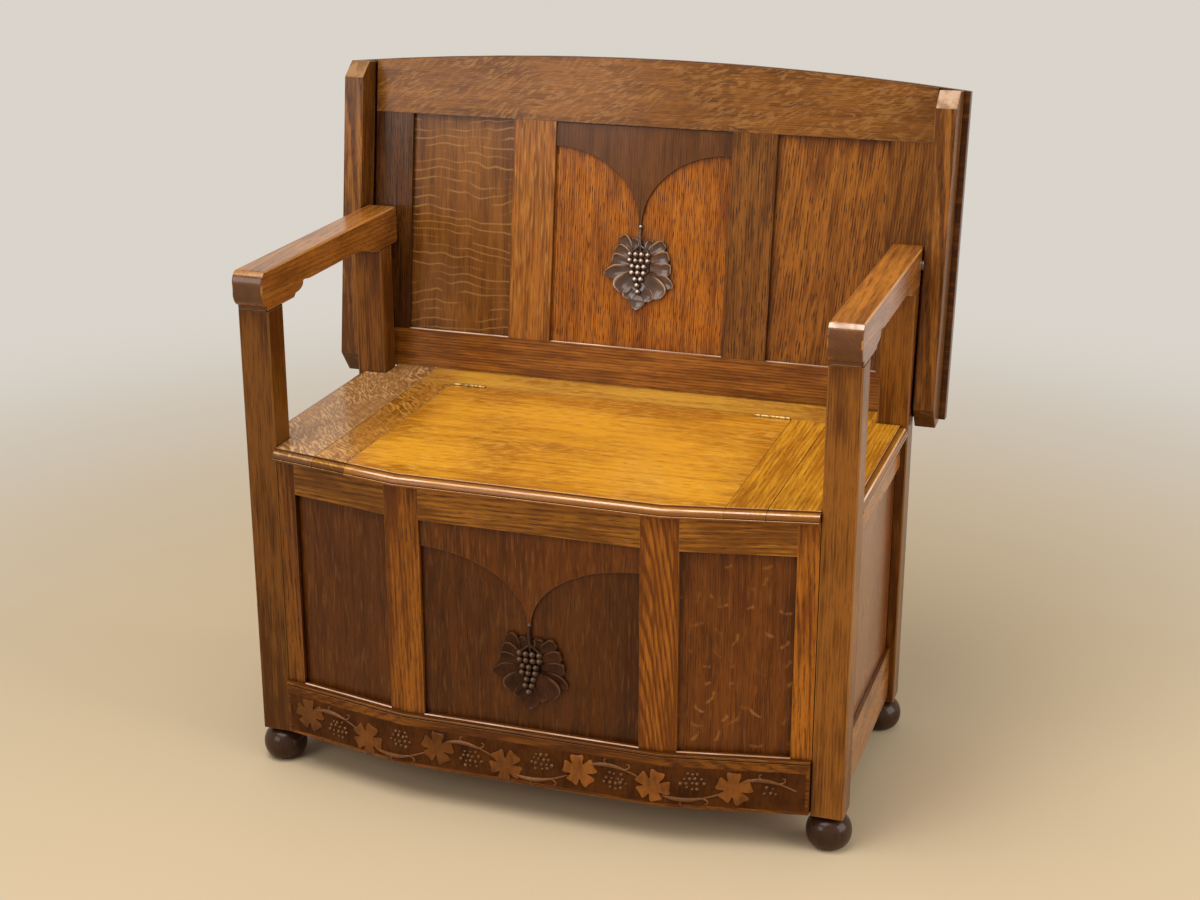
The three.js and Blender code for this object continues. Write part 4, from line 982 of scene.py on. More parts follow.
@dataclass(frozen=True)
class WearAndLight:
    """Tells how worn a board's faces are and where light and shade are painted: 1 for a painted highlight, 0
    for its own colour, -1 for painted shade in a hollow.
    """

    LEDGE: ClassVar[float] = 0.3  # a face that looks up more than this is a ledge
    LEVEL: ClassVar[float] = 0.93  # one that looks up more than this is level
    SLANT: ClassVar[Point] = (0.6, 0.92)  # one that looks up this much can carry a painted highlight, as on a nose
    OUTWARD: ClassVar[float] = 0.2  # one that looks outwards more than this is seen from outside
    SEAT_SKIN: ClassVar[float] = 1 * MM  # a level face this near the top is the seat itself
    LIP: ClassVar[float] = 4 * MM  # a level face this near the foot is the moulding's lower ridge
    board: Board
    foot: float  # the board's lowest height
    top: float  # its greatest height

    def moulding(self, face: Face) -> float | None:
        """Gives the moulded edge a painted highlight on its ridges and painted shade, with some dark stain,
        in its hollows, and nothing off it.
        """
        ridge, middle, steep = self.board.moulded, face.calc_center_median(), face.normal.z
        if steep > self.LEVEL:
            if middle.z > self.top - self.SEAT_SKIN:
                return 0.0
            return ridge if middle.z < self.foot + self.LIP else -1.0
        outward = max(-face.normal.y, face.normal.x * math.copysign(1.0, middle.x))
        if steep > -self.LEVEL and outward > self.OUTWARD:
            # From the most level facets down: painted shade, a painted highlight on the ridge, then deeper
            # painted shade
            bands = ((0.85, -0.6), (0.7, ridge), (0.5, -0.7), (0.25, -0.9))
            return next((worn for least, worn in bands if steep > least), -1.0)
        return None

    def of(self, face: Face, eased: bool) -> float:
        """Gives the wear and the painted light of a face, which may be an eased edge."""
        board = self.board
        way = Way.UP_BACK if body_of(board.node) == "tip_over_back" else Way.UP
        rise = face.normal.dot(Vector(way.value))
        # painted highlight on the upper faces of a ledge
        if board.sill and rise > self.LEDGE:
            return board.sill
        moulded = self.moulding(face) if board.moulded else None
        if moulded is not None:
            return moulded
        forward = face.normal.dot(Vector(Way.FORWARD.value)) > self.OUTWARD
        # painted highlight on noses and bevels that look up and forward
        if board.polished and forward and self.SLANT[0] < rise < self.SLANT[1]:
            return board.polished
        return Shapes.ARRIS_WEAR * eased


@dataclass
class Joinery:
    """Turns boards of the frame into eased, grained pieces."""

    SILL_HALF: ClassVar[Vector] = Vector((0.5, 0.1, 0.1))  # wider than the line, so that no rim shades it
    materials: Materials

    def dress(self, board: Board) -> Piece:
        """Makes one board.

        Args:
            board: the board.

        Returns:
            The finished piece.
        """
        low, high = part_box(board.node)
        piece = Shapes.eased_copy(board.node, board.ease, wear=WearAndLight(board, low.z, high.z).of)
        turn = board.frame_of()
        spread = [turn @ vertex.co for vertex in piece.data.vertices]
        half = Vector([(max(part) - min(part)) / 2 for part in zip(*spread)])
        piece.data.materials.append(self.materials.oak_for(board, (low + high) / 2, half))
        deliver(piece, body_of(board.node), [board.node])
        return piece

    def dress_all(self, boards: Iterable[Board]) -> None:
        """Makes several boards."""
        for board in boards:
            self.dress(board)

    def lay_sill(self, sill: Sill, board: Board) -> None:
        """Lays a painted highlight line on the ledge of a board."""
        line = Shapes.piece(sill.name, sill.mesh())
        line.data.materials.append(self.materials.oak_for(board, Vector(), self.SILL_HALF))
        deliver(line, body_of(board.node))


SIDES = ("left", "right")


@dataclass
class BoxFrame:
    """Posts, arms, sides, rear and floor of the box."""

    joinery: Joinery
    post_shades: dict[str, float] = field(default_factory=lambda: {"left": 0.39, "right": 0.62})
    arm_shades: dict[str, float] = field(default_factory=lambda: {"left": 0.9, "right": 1.2})
    # a painted highlight along the top of each arm's nose
    nose_polish: dict[str, float] = field(default_factory=lambda: {"left": 0.55, "right": 0.85})

    def boards(self) -> list[Board]:
        """Lists the boards of the box frame."""
        straight = Figure(ring=3.2 * MM, contrast=0.25, pith=(0.11, 0.06), streaks=0.8, pores=0.4, mottle=0.8)
        arm = Figure(
            ring=5 * MM, contrast=0.25, pith=(0.05, 0.07), streaks=0.55, pores=0.5, mottle=0.6, slope=0.03)
        plain = Figure(contrast=0.35, pith=(0.03, 0.05), slope=0.05)
        speckled = Figure(flakes=0.3, flake_cell=22 * MM)
        made = []
        for label in SIDES:
            shade = self.post_shades[label]
            made += [
                Board(f"front_post_{label}", Way.UP, Way.FORWARD, AMBER, straight, shade, 1.2 * MM),
                Board(f"rear_post_{label}", Way.UP, Way.FORWARD, AMBER, straight, 0.52, 0.8 * MM),
                Board(f"arm_{label}", Way.DEEP, Way.UP, CHESTNUT_SIDE, arm, self.arm_shades[label], 1.6 * MM,
                      polished=self.nose_polish[label]),
                Board(f"side_top_rail_{label}", Way.DEEP, Way.ACROSS, AMBER_SIDE, plain, 0.9),
                Board(f"side_bottom_rail_{label}", Way.DEEP, Way.ACROSS, AMBER_SIDE, plain, 0.85),
                Board(f"side_panel_{label}", Way.UP, Way.ACROSS, RUSSET_SIDE, speckled, 1.2),
            ]
        made += [
            Board("box_rear_top_rail", Way.ACROSS, Way.FORWARD, AMBER, plain, 0.85),
            Board("box_rear_bottom_rail", Way.ACROSS, Way.FORWARD, AMBER, plain, 0.8),
            Board("box_rear_panel", Way.ACROSS, Way.FORWARD, RUSSET, plain),
            Board("box_floor_board", Way.ACROSS, Way.UP, CHESTNUT, plain, 0.9),
        ]
        return made

    def build(self) -> None:
        """Makes the box frame."""
        self.joinery.dress_all(self.boards())


@dataclass
class BunFeet:
    """The four turned feet."""

    materials: Materials
    pad: float = 17 * MM
    pad_chamfer: float = 1.5 * MM
    neck: float = 15 * MM
    neck_height: float = 5 * MM
    collar: float = 0.6 * MM  # how far the collar stands out from the neck
    collar_rise: float = 1.2 * MM
    spigot: float = 9 * MM
    closing: float = 0.1 * MM  # radius of the flats that close both ends
    sides: int = 72
    steps: int = 22

    def profile(self, radius: float, height: float, top: float) -> list[Point]:
        """Draws a foot's profile.

        Args:
            radius: at its widest.
            height: of the foot without its spigot.
            top: height of the spigot's end.

        Returns:
            Radius and height from the ground up.
        """
        waist, collar = height - self.neck_height, self.neck + self.collar
        points = [(self.closing, 0.0), (self.pad - self.pad_chamfer, 0.0)]
        for i in range(1, self.steps):
            angle = -math.pi / 2 + math.pi * i / self.steps
            bulge = (radius - self.neck) * math.cos(angle)
            points.append((self.neck + bulge, waist / 2 * (1 + math.sin(angle))))
        points += [(self.neck, waist), (collar, waist + self.collar_rise), (collar, height)]
        return points + [(self.spigot, height), (self.spigot, top), (self.closing, top)]

    def build(self) -> None:
        """Makes the feet."""
        polish = self.materials.carved(FOOT)
        shoulder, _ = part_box("front_post_left")
        for node in (f"bun_foot_{end}_{label}" for end in ("front", "rear") for label in SIDES):
            low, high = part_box(node)
            middle = (low + high) / 2
            profile = self.profile((high.x - low.x) / 2, shoulder.z, high.z)
            foot = Shapes.turned(f"{node}_finished", profile, Vector((middle.x, middle.y, 0)), self.sides)
            foot.data.materials.append(polish)
            deliver(foot, body_of(node), [node])


@dataclass
class CantedFront:
    """The bowed front: stiles, rails, three panels, bottom rail and spandrel."""

    joinery: Joinery
    sill_width: float = 1.7 * MM
    # how bright the painted highlight line is
    sill_rub: float = 0.82

    def boards(self) -> list[Board]:
        """Lists the boards of the front."""
        bold = Figure(
            ring=5 * MM, contrast=0.35, pith=(0.07, 0.05), slope=0.05, streaks=0.8, mottle=0.8, warp=14 * MM)
        cathedral = Figure(
            ring=3.6 * MM, contrast=0.75, pith=(0.03, 0.03), slope=0.09, streaks=0.7, pores=0.5, warp=10 * MM)
        rail = Figure(
            ring=5 * MM, contrast=0.4, pith=(0.05, 0.04), slope=0.03, streaks=0.8, mottle=0.7, warp=12 * MM)
        fine = Figure(
            ring=2.6 * MM, contrast=0.2, pith=(0.3, 0.1), streaks=0.55, pores=0.5, flames=0.4, edge=0.1)
        streaky = replace(fine, mottle=0.15)
        fleck = Figure(
            ring=3 * MM, contrast=0.25, pith=(0.2, 0.08), streaks=0.6, pores=0.5, flakes=0.95,
            flake_cell=28 * MM, flames=0.25)
        ends = {"left": (Way.LEFT_BAY, Way.LEFT_BAY_FACE), "right": (Way.RIGHT_BAY, Way.RIGHT_BAY_FACE)}
        stiles = {
            ("end", "left"): (bold, 0.41), ("break", "left"): (bold, 0.62),
            ("break", "right"): (cathedral, 0.76), ("end", "right"): (bold, 0.82),
        }
        made = []
        for (kind, label), (figure, shade) in stiles.items():
            face = ends[label][1] if kind == "end" else Way.FORWARD
            made.append(Board(f"front_{kind}_stile_{label}", Way.UP, face, HONEY, figure, shade))
        for (label, (along, face)), shade in zip(ends.items(), (0.7, 1.0)):
            made.append(Board(f"front_top_rail_{label}", along, face, WHEAT, rail, shade))
        made += [
            Board("front_top_rail_centre", Way.ACROSS, Way.FORWARD, WHEAT, rail, 0.82),
            Board("front_panel_left", Way.UP, Way.LEFT_BAY_FACE, RUSSET, fine, 0.55),
            Board("front_panel_centre", Way.UP, Way.FORWARD, RUSSET, streaky, 0.5),
            Board("front_panel_right", Way.UP, Way.RIGHT_BAY_FACE, RUSSET, fleck, 0.85),
            Board("front_spandrel", Way.UP, Way.FORWARD, RUSSET, fine, 0.7, 0.8 * MM),
            Board("front_bottom_rail", Way.ACROSS, Way.FORWARD, HONEY, rail, 0.45, 0.4 * MM),
        ]
        return made

    def sill(self) -> Sill:
        """Plans the painted highlight line at the feet of the three panels, with painted shadow behind it."""
        names = ("end_stile_left", "break_stile_left", "break_stile_right", "end_stile_right")
        spans = clear_spans([f"front_{name}" for name in names])
        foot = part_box("front_bottom_rail")[1].z
        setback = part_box("front_panel_centre")[0].y - PLAN.middle_y
        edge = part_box("front_panel_centre")[0].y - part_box("front_break_stile_left")[0].y

        def place(x: float, out: float, up: float) -> Vector:
            """Gives a place on the bowed ledge."""
            return Vector((x, PLAN.face_y(x, out - setback), foot + up))

        return Sill("front_panel_sill_line", spans, (edge - self.sill_width, edge), place, self.sill_rub)

    def build(self) -> None:
        """Makes the front's boards."""
        self.joinery.dress_all(self.boards())
        self.joinery.lay_sill(self.sill(), Board("front_bottom_rail", Way.ACROSS, Way.FORWARD, HONEY))


@dataclass
class Seat:
    """The moulded seat: side boards, rear rail and the clamped lid."""

    joinery: Joinery

    def boards(self) -> list[Board]:
        """Lists the boards of the seat."""
        ripple = Figure(
            ring=9 * MM, contrast=0.12, pith=(0.03, 0.12), slope=0.02, streaks=0.45, pores=0.5, mottle=0.8,
            dashes=0.4, dash_angle=0.1, rim=0.6, edge=0.6)
        mottled = Figure(
            contrast=0.15, streaks=0.8, pores=0.9, mottle=0.6, dashes=0.8, dash_angle=0.75, dash_size=0.6,
            edge=0.6)
        pale = Figure(
            contrast=0.15, streaks=0.4, pores=0.6, mottle=0.6, dashes=0.7, dash_angle=0.6, dash_size=0.72,
            edge=0.75)
        straight = Figure(ring=5 * MM, contrast=0.35, pith=(0.09, 0.05), streaks=0.8, pores=0.6, edge=0.5)
        return [
            # moulded: a painted highlight on each front edge's ridge, and painted shade in its hollows
            Board("lid_panel", Way.ACROSS, Way.UP, SEAT_GOLD, ripple, 0.9, moulded=0.8),
            Board("lid_clamp_left", Way.DEEP, Way.UP, MOTTLED_GOLD, mottled, 0.8, moulded=0.6),
            Board("lid_clamp_right", Way.DEEP, Way.UP, SEAT_GOLD, straight, 0.8, moulded=0.85),
            Board("seat_side_board_left", Way.DEEP, Way.UP, TAWNY, pale, 0.95, moulded=0.4),
            Board("seat_side_board_right", Way.DEEP, Way.UP, SEAT_GOLD, straight, 0.77, moulded=0.85),
            Board("seat_rear_rail", Way.ACROSS, Way.UP, PALE_GOLD, ripple, 0.82),
        ]

    def build(self) -> None:
        """Makes the seat's boards."""
        self.joinery.dress_all(self.boards())


@dataclass
class TipOverBack:
    """The framed back that is also a table: frame, panels, spandrel, top and bearers."""

    joinery: Joinery
    sill_width: float = 2.6 * MM

    def boards(self) -> list[Board]:
        """Lists the boards of the back."""
        tiger = Figure(
            ring=3 * MM, contrast=0.2, pith=(0.25, 0.1), streaks=0.5, pores=0.5, mottle=0.5, dashes=0.6,
            dash_angle=0.36, dash_size=0.72)
        wavy = Figure(
            ring=2.5 * MM, contrast=0.2, pith=(0.3, 0.05), streaks=0.5, pores=0.5, mottle=0.5, lines=0.85,
            line_pitch=13 * MM, rim=0.35)
        flame = Figure(ring=4 * MM, contrast=0.3, pith=(0.1, 0.05), streaks=0.8, pores=0.4, flames=0.6)
        dense = Figure(ring=3.0 * MM, contrast=0.35, pith=(0.25, 0.1), streaks=0.55, pores=1.3, mottle=0.35)
        upright = Figure(ring=3.4 * MM, contrast=0.3, pith=(0.18, 0.08), streaks=0.75, pores=1.0, mottle=0.5)
        askew = Figure(
            ring=3.4 * MM, contrast=0.3, pith=(0.2, 0.1), streaks=0.7, pores=1.1, lean=0.07, rim=0.3)
        slanted = Figure(ring=3.6 * MM, contrast=0.5, pith=(0.16, 0.05), slope=0.2, streaks=0.8, lean=0.12)
        coarse = Figure(ring=4.5 * MM, contrast=0.9, pith=(0.02, 0.06), slope=0.02, streaks=1.0, pores=0.9)
        rail = Figure(ring=4 * MM, contrast=0.45, pith=(0.12, 0.05), streaks=0.75, pores=0.6, mottle=0.4)
        top = Figure(
            ring=6 * MM, contrast=0.45, pith=(0.02, 0.06), slope=0.04, streaks=0.7, pores=0.6, mottle=0.5,
            plank=118 * MM)
        up, face = Way.UP_BACK, Way.BACK_FACE
        return [
            Board("back_top_rail", Way.ACROSS, face, CHESTNUT, tiger, 0.58),
            # sill: a painted highlight on the rail's upper faces
            Board("back_bottom_rail", Way.ACROSS, face, AMBER, rail, 0.75, 1.8 * MM, sill=0.5),
            Board("back_stile_left", up, face, UMBER, upright, 0.55),
            Board("back_stile_right", up, face, AMBER, slanted, 0.57),
            Board("back_muntin_left", up, face, AMBER, flame, 0.78),
            Board("back_muntin_right", up, face, CHESTNUT, upright, 0.56),
            Board("back_panel_left", up, face, CHESTNUT, wavy, 0.57),
            Board("back_panel_centre", up, face, HONEY, dense, 0.88),
            Board("back_panel_right", up, face, AMBER, askew, 0.72),
            Board("back_spandrel", up, face, UMBER, QUIET, 0.7, 0.8 * MM),
            Board("table_top", Way.ACROSS, face, UMBER, top, 0.9, 1.0 * MM),
            # polished: a painted highlight on the bearers' top bevels
            Board("bearer_left", up, face, CHESTNUT, coarse, 0.62, 0.8 * MM, polished=0.66),
            Board("bearer_right", up, face, CHESTNUT, coarse, 0.7, 0.8 * MM, polished=0.76),
        ]

    def sill(self) -> Sill:
        """Plans the painted highlight line at the feet of the three panels."""
        names = ("stile_left", "muntin_left", "muntin_right", "stile_right")
        spans = clear_spans([f"back_{name}" for name in names])
        rail, panel = frame["nodes"]["back_bottom_rail"], frame["nodes"]["back_panel_centre"]
        foot = max(vertex.co.dot(UP_THE_BACK) for vertex in rail.data.vertices)
        face = max(vertex.co.dot(BACK_NORMAL) for vertex in panel.data.vertices)

        def place(x: float, out: float, up: float) -> Vector:
            """Gives a place on the leaning ledge."""
            return Vector((x, 0, 0)) + UP_THE_BACK * (foot + up) + BACK_NORMAL * (face + out)

        return Sill("back_panel_sill_line", spans, (Sill.LET_IN, self.sill_width), place)

    def build(self) -> None:
        """Makes the back's boards."""
        self.joinery.dress_all(self.boards())
        self.joinery.lay_sill(self.sill(), Board("back_bottom_rail", Way.ACROSS, Way.BACK_FACE, HONEY))


@dataclass(frozen=True)
class Ground:
    """A flat face that carving stands on."""

    origin: Vector
    up: Vector
    out: Vector

    @classmethod
    def under(cls, node: str, up: Vector, out: Vector) -> "Ground":
        """Finds the face behind a carving's node.

        Args:
            node: the carving's node.
            up: direction up the face.
            out: the face's normal.

        Returns:
            The ground, with its origin in the middle of the node's lower edge.
        """
        points = [vertex.co for vertex in frame["nodes"][node].data.vertices]
        foot, back = min(point.dot(up) for point in points), min(point.dot(out) for point in points)
        return cls(up * foot + out * back, up, out)

    def at(self, x: float, height: float, proud: float) -> Vector:
        """Gives a place on the ground, in metres along it, up it and in front of it."""
        return self.origin + Vector((x, 0, 0)) + self.up * height + self.out * proud

    def turn(self) -> Euler:
        """Gives the turn that stands a pattern up on the ground, its own z towards the viewer."""
        return Matrix((Vector((1, 0, 0)), self.up, self.out)).transposed().to_euler()


def ridge(away: float, breadth: float) -> float:
    """Gives the height of a rounded ridge, 1 on its line and less with the distance away."""
    return math.exp(-((away / breadth) ** 2))


@dataclass(frozen=True)
class Lobe:
    """One lobe of a carved leaf, scooped like a spoon, in millimetres from the leaf's middle."""

    root: Point
    tip: Point
    girth: float  # half its greatest width
    level: float = 2.0  # how high it is stacked over its neighbours
    rim: int = 1  # 1 where the raised edge lies left of the way from root to tip, -1 where right
    round: float = 2.2  # 1 for a pointed tip, 3 for a blunt one
    curl: float = 1.0  # how far the rim turns up
    broadest: float = 0.6  # where it is widest, from root to tip
    FOOT: ClassVar[float] = 2.3  # height of the lowest level
    LEVEL: ClassVar[float] = 0.75
    RIM: ClassVar[float] = 1.5
    SCOOP: ClassVar[float] = 1.9
    VEIN: ClassVar[float] = 0.3
    FALL: ClassVar[float] = 1.3  # of the edge across from the rim
    LIP: ClassVar[float] = 0.9  # at the tip
    RISE: ClassVar[float] = 1.3  # from root to tip

    def half_width(self, s: float) -> float:
        """Gives half the width at a share of the way to the tip."""
        if s < self.broadest:
            return self.girth * (0.45 + 0.55 * math.sin(s / self.broadest * math.pi / 2))
        far = (s - self.broadest) / (1 - self.broadest)
        return self.girth * (1 - far ** self.round) ** (1 / self.round)

    def place(self, s: float, q: float) -> Point:
        """Gives a place from the share of the way to the tip and the share of the half width."""
        ax, az = self.tip[0] - self.root[0], self.tip[1] - self.root[1]
        length = math.hypot(ax, az)
        aside = q * self.half_width(s) / length
        return self.root[0] + ax * s - az * aside, self.root[1] + az * s + ax * aside

    def height(self, s: float, q: float) -> float:
        """Gives the height: a raised rim, a scoop with a vein in it, and an edge that falls away."""
        q *= self.rim
        rim = self.RIM * self.curl * ridge(1 - q, 0.2)
        scoop = self.SCOOP * (1 - q * q) * math.sin(math.pi * s ** 1.4)
        vein = self.VEIN * ridge(q, 0.08) * min(1.0, 4 * (1 - s))
        fall = self.FALL * max(0.0, -q - 0.2) ** 2
        lip = self.LIP * ridge(1 - s, 0.1)
        rise = self.RISE * math.sin(min(1.0, s / 0.8) * math.pi / 2)
        return self.FOOT + self.LEVEL * self.level + rim + rise + lip - scoop - vein - fall

    def worn(self, s: float, q: float) -> float:
        """Tells where a painted highlight lies, with some rubbing: the rim and the tip's edge most."""
        q *= self.rim
        rim = ridge(1 - q, 0.18) * min(1.0, max(0.0, (s - 0.15) / 0.3))
        return min(1.0, self.curl * (rim + 0.6 * ridge(1 - s, 0.035)))


@dataclass(frozen=True)
class Mark:
    """A point that carries a pattern."""

    place: Vector
    turn: Euler = field(default_factory=Euler)
    size: float = 1.0


class NodeTree(Sockets):
    """A Geometry Nodes tree that is applied to a point or line mesh and leaves a plain mesh."""

    def __init__(self, name: str, inputs: dict[str, str]) -> None:
        """Starts the tree.

        Args:
            name: the tree's name.
            inputs: socket types by input name.
        """
        super().__init__(bpy.data.node_groups.new(name, "GeometryNodeTree"))
        face = self.tree.interface
        face.new_socket("Geometry", in_out="INPUT", socket_type="NodeSocketGeometry")
        self.keys = {
            label: face.new_socket(label, in_out="INPUT", socket_type=kind).identifier
            for label, kind in inputs.items()
        }
        face.new_socket("Geometry", in_out="OUTPUT", socket_type="NodeSocketGeometry")
        self.given = self.node("NodeGroupInput").outputs

    def end(self, geometry: Socket, finish: Socket) -> None:
        """Closes the tree: everything is made real, smooth and given its finish."""
        real = self.node("GeometryNodeRealizeInstances", {"Geometry": geometry}).outputs[0]
        smooth = self.node("GeometryNodeSetShadeSmooth", {"Geometry": real}).outputs[0]
        dressed = self.node("GeometryNodeSetMaterial", {"Geometry": smooth, "Material": finish}).outputs[0]
        self.put(self.node("NodeGroupOutput").inputs[0], dressed)

    def apply(self, name: str, start: bpy.types.Mesh, values: dict[str, object]) -> Piece:
        """Runs the tree.

        Args:
            name: the new piece's name.
            start: the mesh that the tree starts from.
            values: the tree's inputs by name.

        Returns:
            A piece with a plain mesh and no modifier.
        """
        made = stand(name, start)
        rule = made.modifiers.new(name, "NODES")
        rule.node_group = self.tree
        for label, value in values.items():
            rule[self.keys[label]] = value
        shape = made.evaluated_get(bpy.context.evaluated_depsgraph_get())
        plain = bpy.data.meshes.new_from_object(shape)
        made.modifiers.remove(rule)
        made.data = plain
        plain.name = name
        bpy.data.meshes.remove(start)
        return made


class Scatter(NodeTree):
    """Sets one pattern on many marked points."""

    def __init__(self) -> None:
        """Builds the tree."""
        super().__init__("set_on_points", {"Pattern": "NodeSocketObject", "Finish": "NodeSocketMaterial"})
        pattern = self.node("GeometryNodeObjectInfo", {"Object": self.given["Pattern"]}).outputs["Geometry"]
        turn = self.node("GeometryNodeInputNamedAttribute", {"Name": "turn"}, data_type="FLOAT_VECTOR")
        size = self.node("GeometryNodeInputNamedAttribute", {"Name": "size"}, data_type="FLOAT")
        spread = self.node("GeometryNodeInstanceOnPoints", {
            "Points": self.given["Geometry"], "Instance": pattern, "Rotation": turn.outputs[0],
            "Scale": size.outputs[0],
        })
        self.end(spread.outputs[0], self.given["Finish"])

    def build(self, name: str, marks: Sequence[Mark], pattern: Piece, finish: Material) -> Piece:
        """Spreads a pattern and removes the original.

        Args:
            name: the new piece's name.
            marks: where it goes.
            pattern: the shape that is repeated.
            finish: its material.

        Returns:
            The piece.
        """
        points = bpy.data.meshes.new(name)
        points.from_pydata([mark.place for mark in marks], [], [])
        for label, kind in (("turn", "FLOAT_VECTOR"), ("size", "FLOAT")):
            points.attributes.new(label, kind, "POINT")
        turns = [part for mark in marks for part in mark.turn]
        points.attributes["turn"].data.foreach_set("vector", turns)
        points.attributes["size"].data.foreach_set("value", [mark.size for mark in marks])
        made = self.apply(name, points, {"Pattern": pattern, "Finish": finish})
        bpy.data.objects.remove(pattern)
        return made


class Ribs(NodeTree):
    """Runs round ribs of changing thickness along lines."""

    FACES = 10  # round a rib

    def __init__(self) -> None:
        """Builds the tree."""
        super().__init__("ribs_along_lines", {"Finish": "NodeSocketMaterial"})
        lines = self.node("GeometryNodeMeshToCurve", {"Mesh": self.given["Geometry"]}).outputs[0]
        girth = self.node("GeometryNodeInputNamedAttribute", {"Name": "girth"}, data_type="FLOAT").outputs[0]
        ring = self.node("GeometryNodeCurvePrimitiveCircle", {"Resolution": self.FACES, "Radius": 1.0})
        swept = self.node("GeometryNodeCurveToMesh", {
            "Curve": lines, "Profile Curve": ring.outputs[0], "Scale": girth, "Fill Caps": True})
        self.end(swept.outputs[0], self.given["Finish"])

    def build(self, name: str, lines: Sequence[Line], finish: Material) -> Piece:
        """Runs ribs along lines.

        Args:
            name: the new piece's name.
            lines: a line for each rib.
            finish: its material.

        Returns:
            The piece.
        """
        points, edges, girths = [], [], []
        for line in lines:
            start = len(points)
            points += [point for point, _ in line]
            girths += [girth for _, girth in line]
            edges += [(start + i, start + i + 1) for i in range(len(line) - 1)]
        mesh = bpy.data.meshes.new(name)
        mesh.from_pydata(points, edges, [])
        girth = mesh.attributes.new("girth", "FLOAT", "POINT")
        girth.data.foreach_set("value", girths)
        return self.apply(name, mesh, {"Finish": finish})


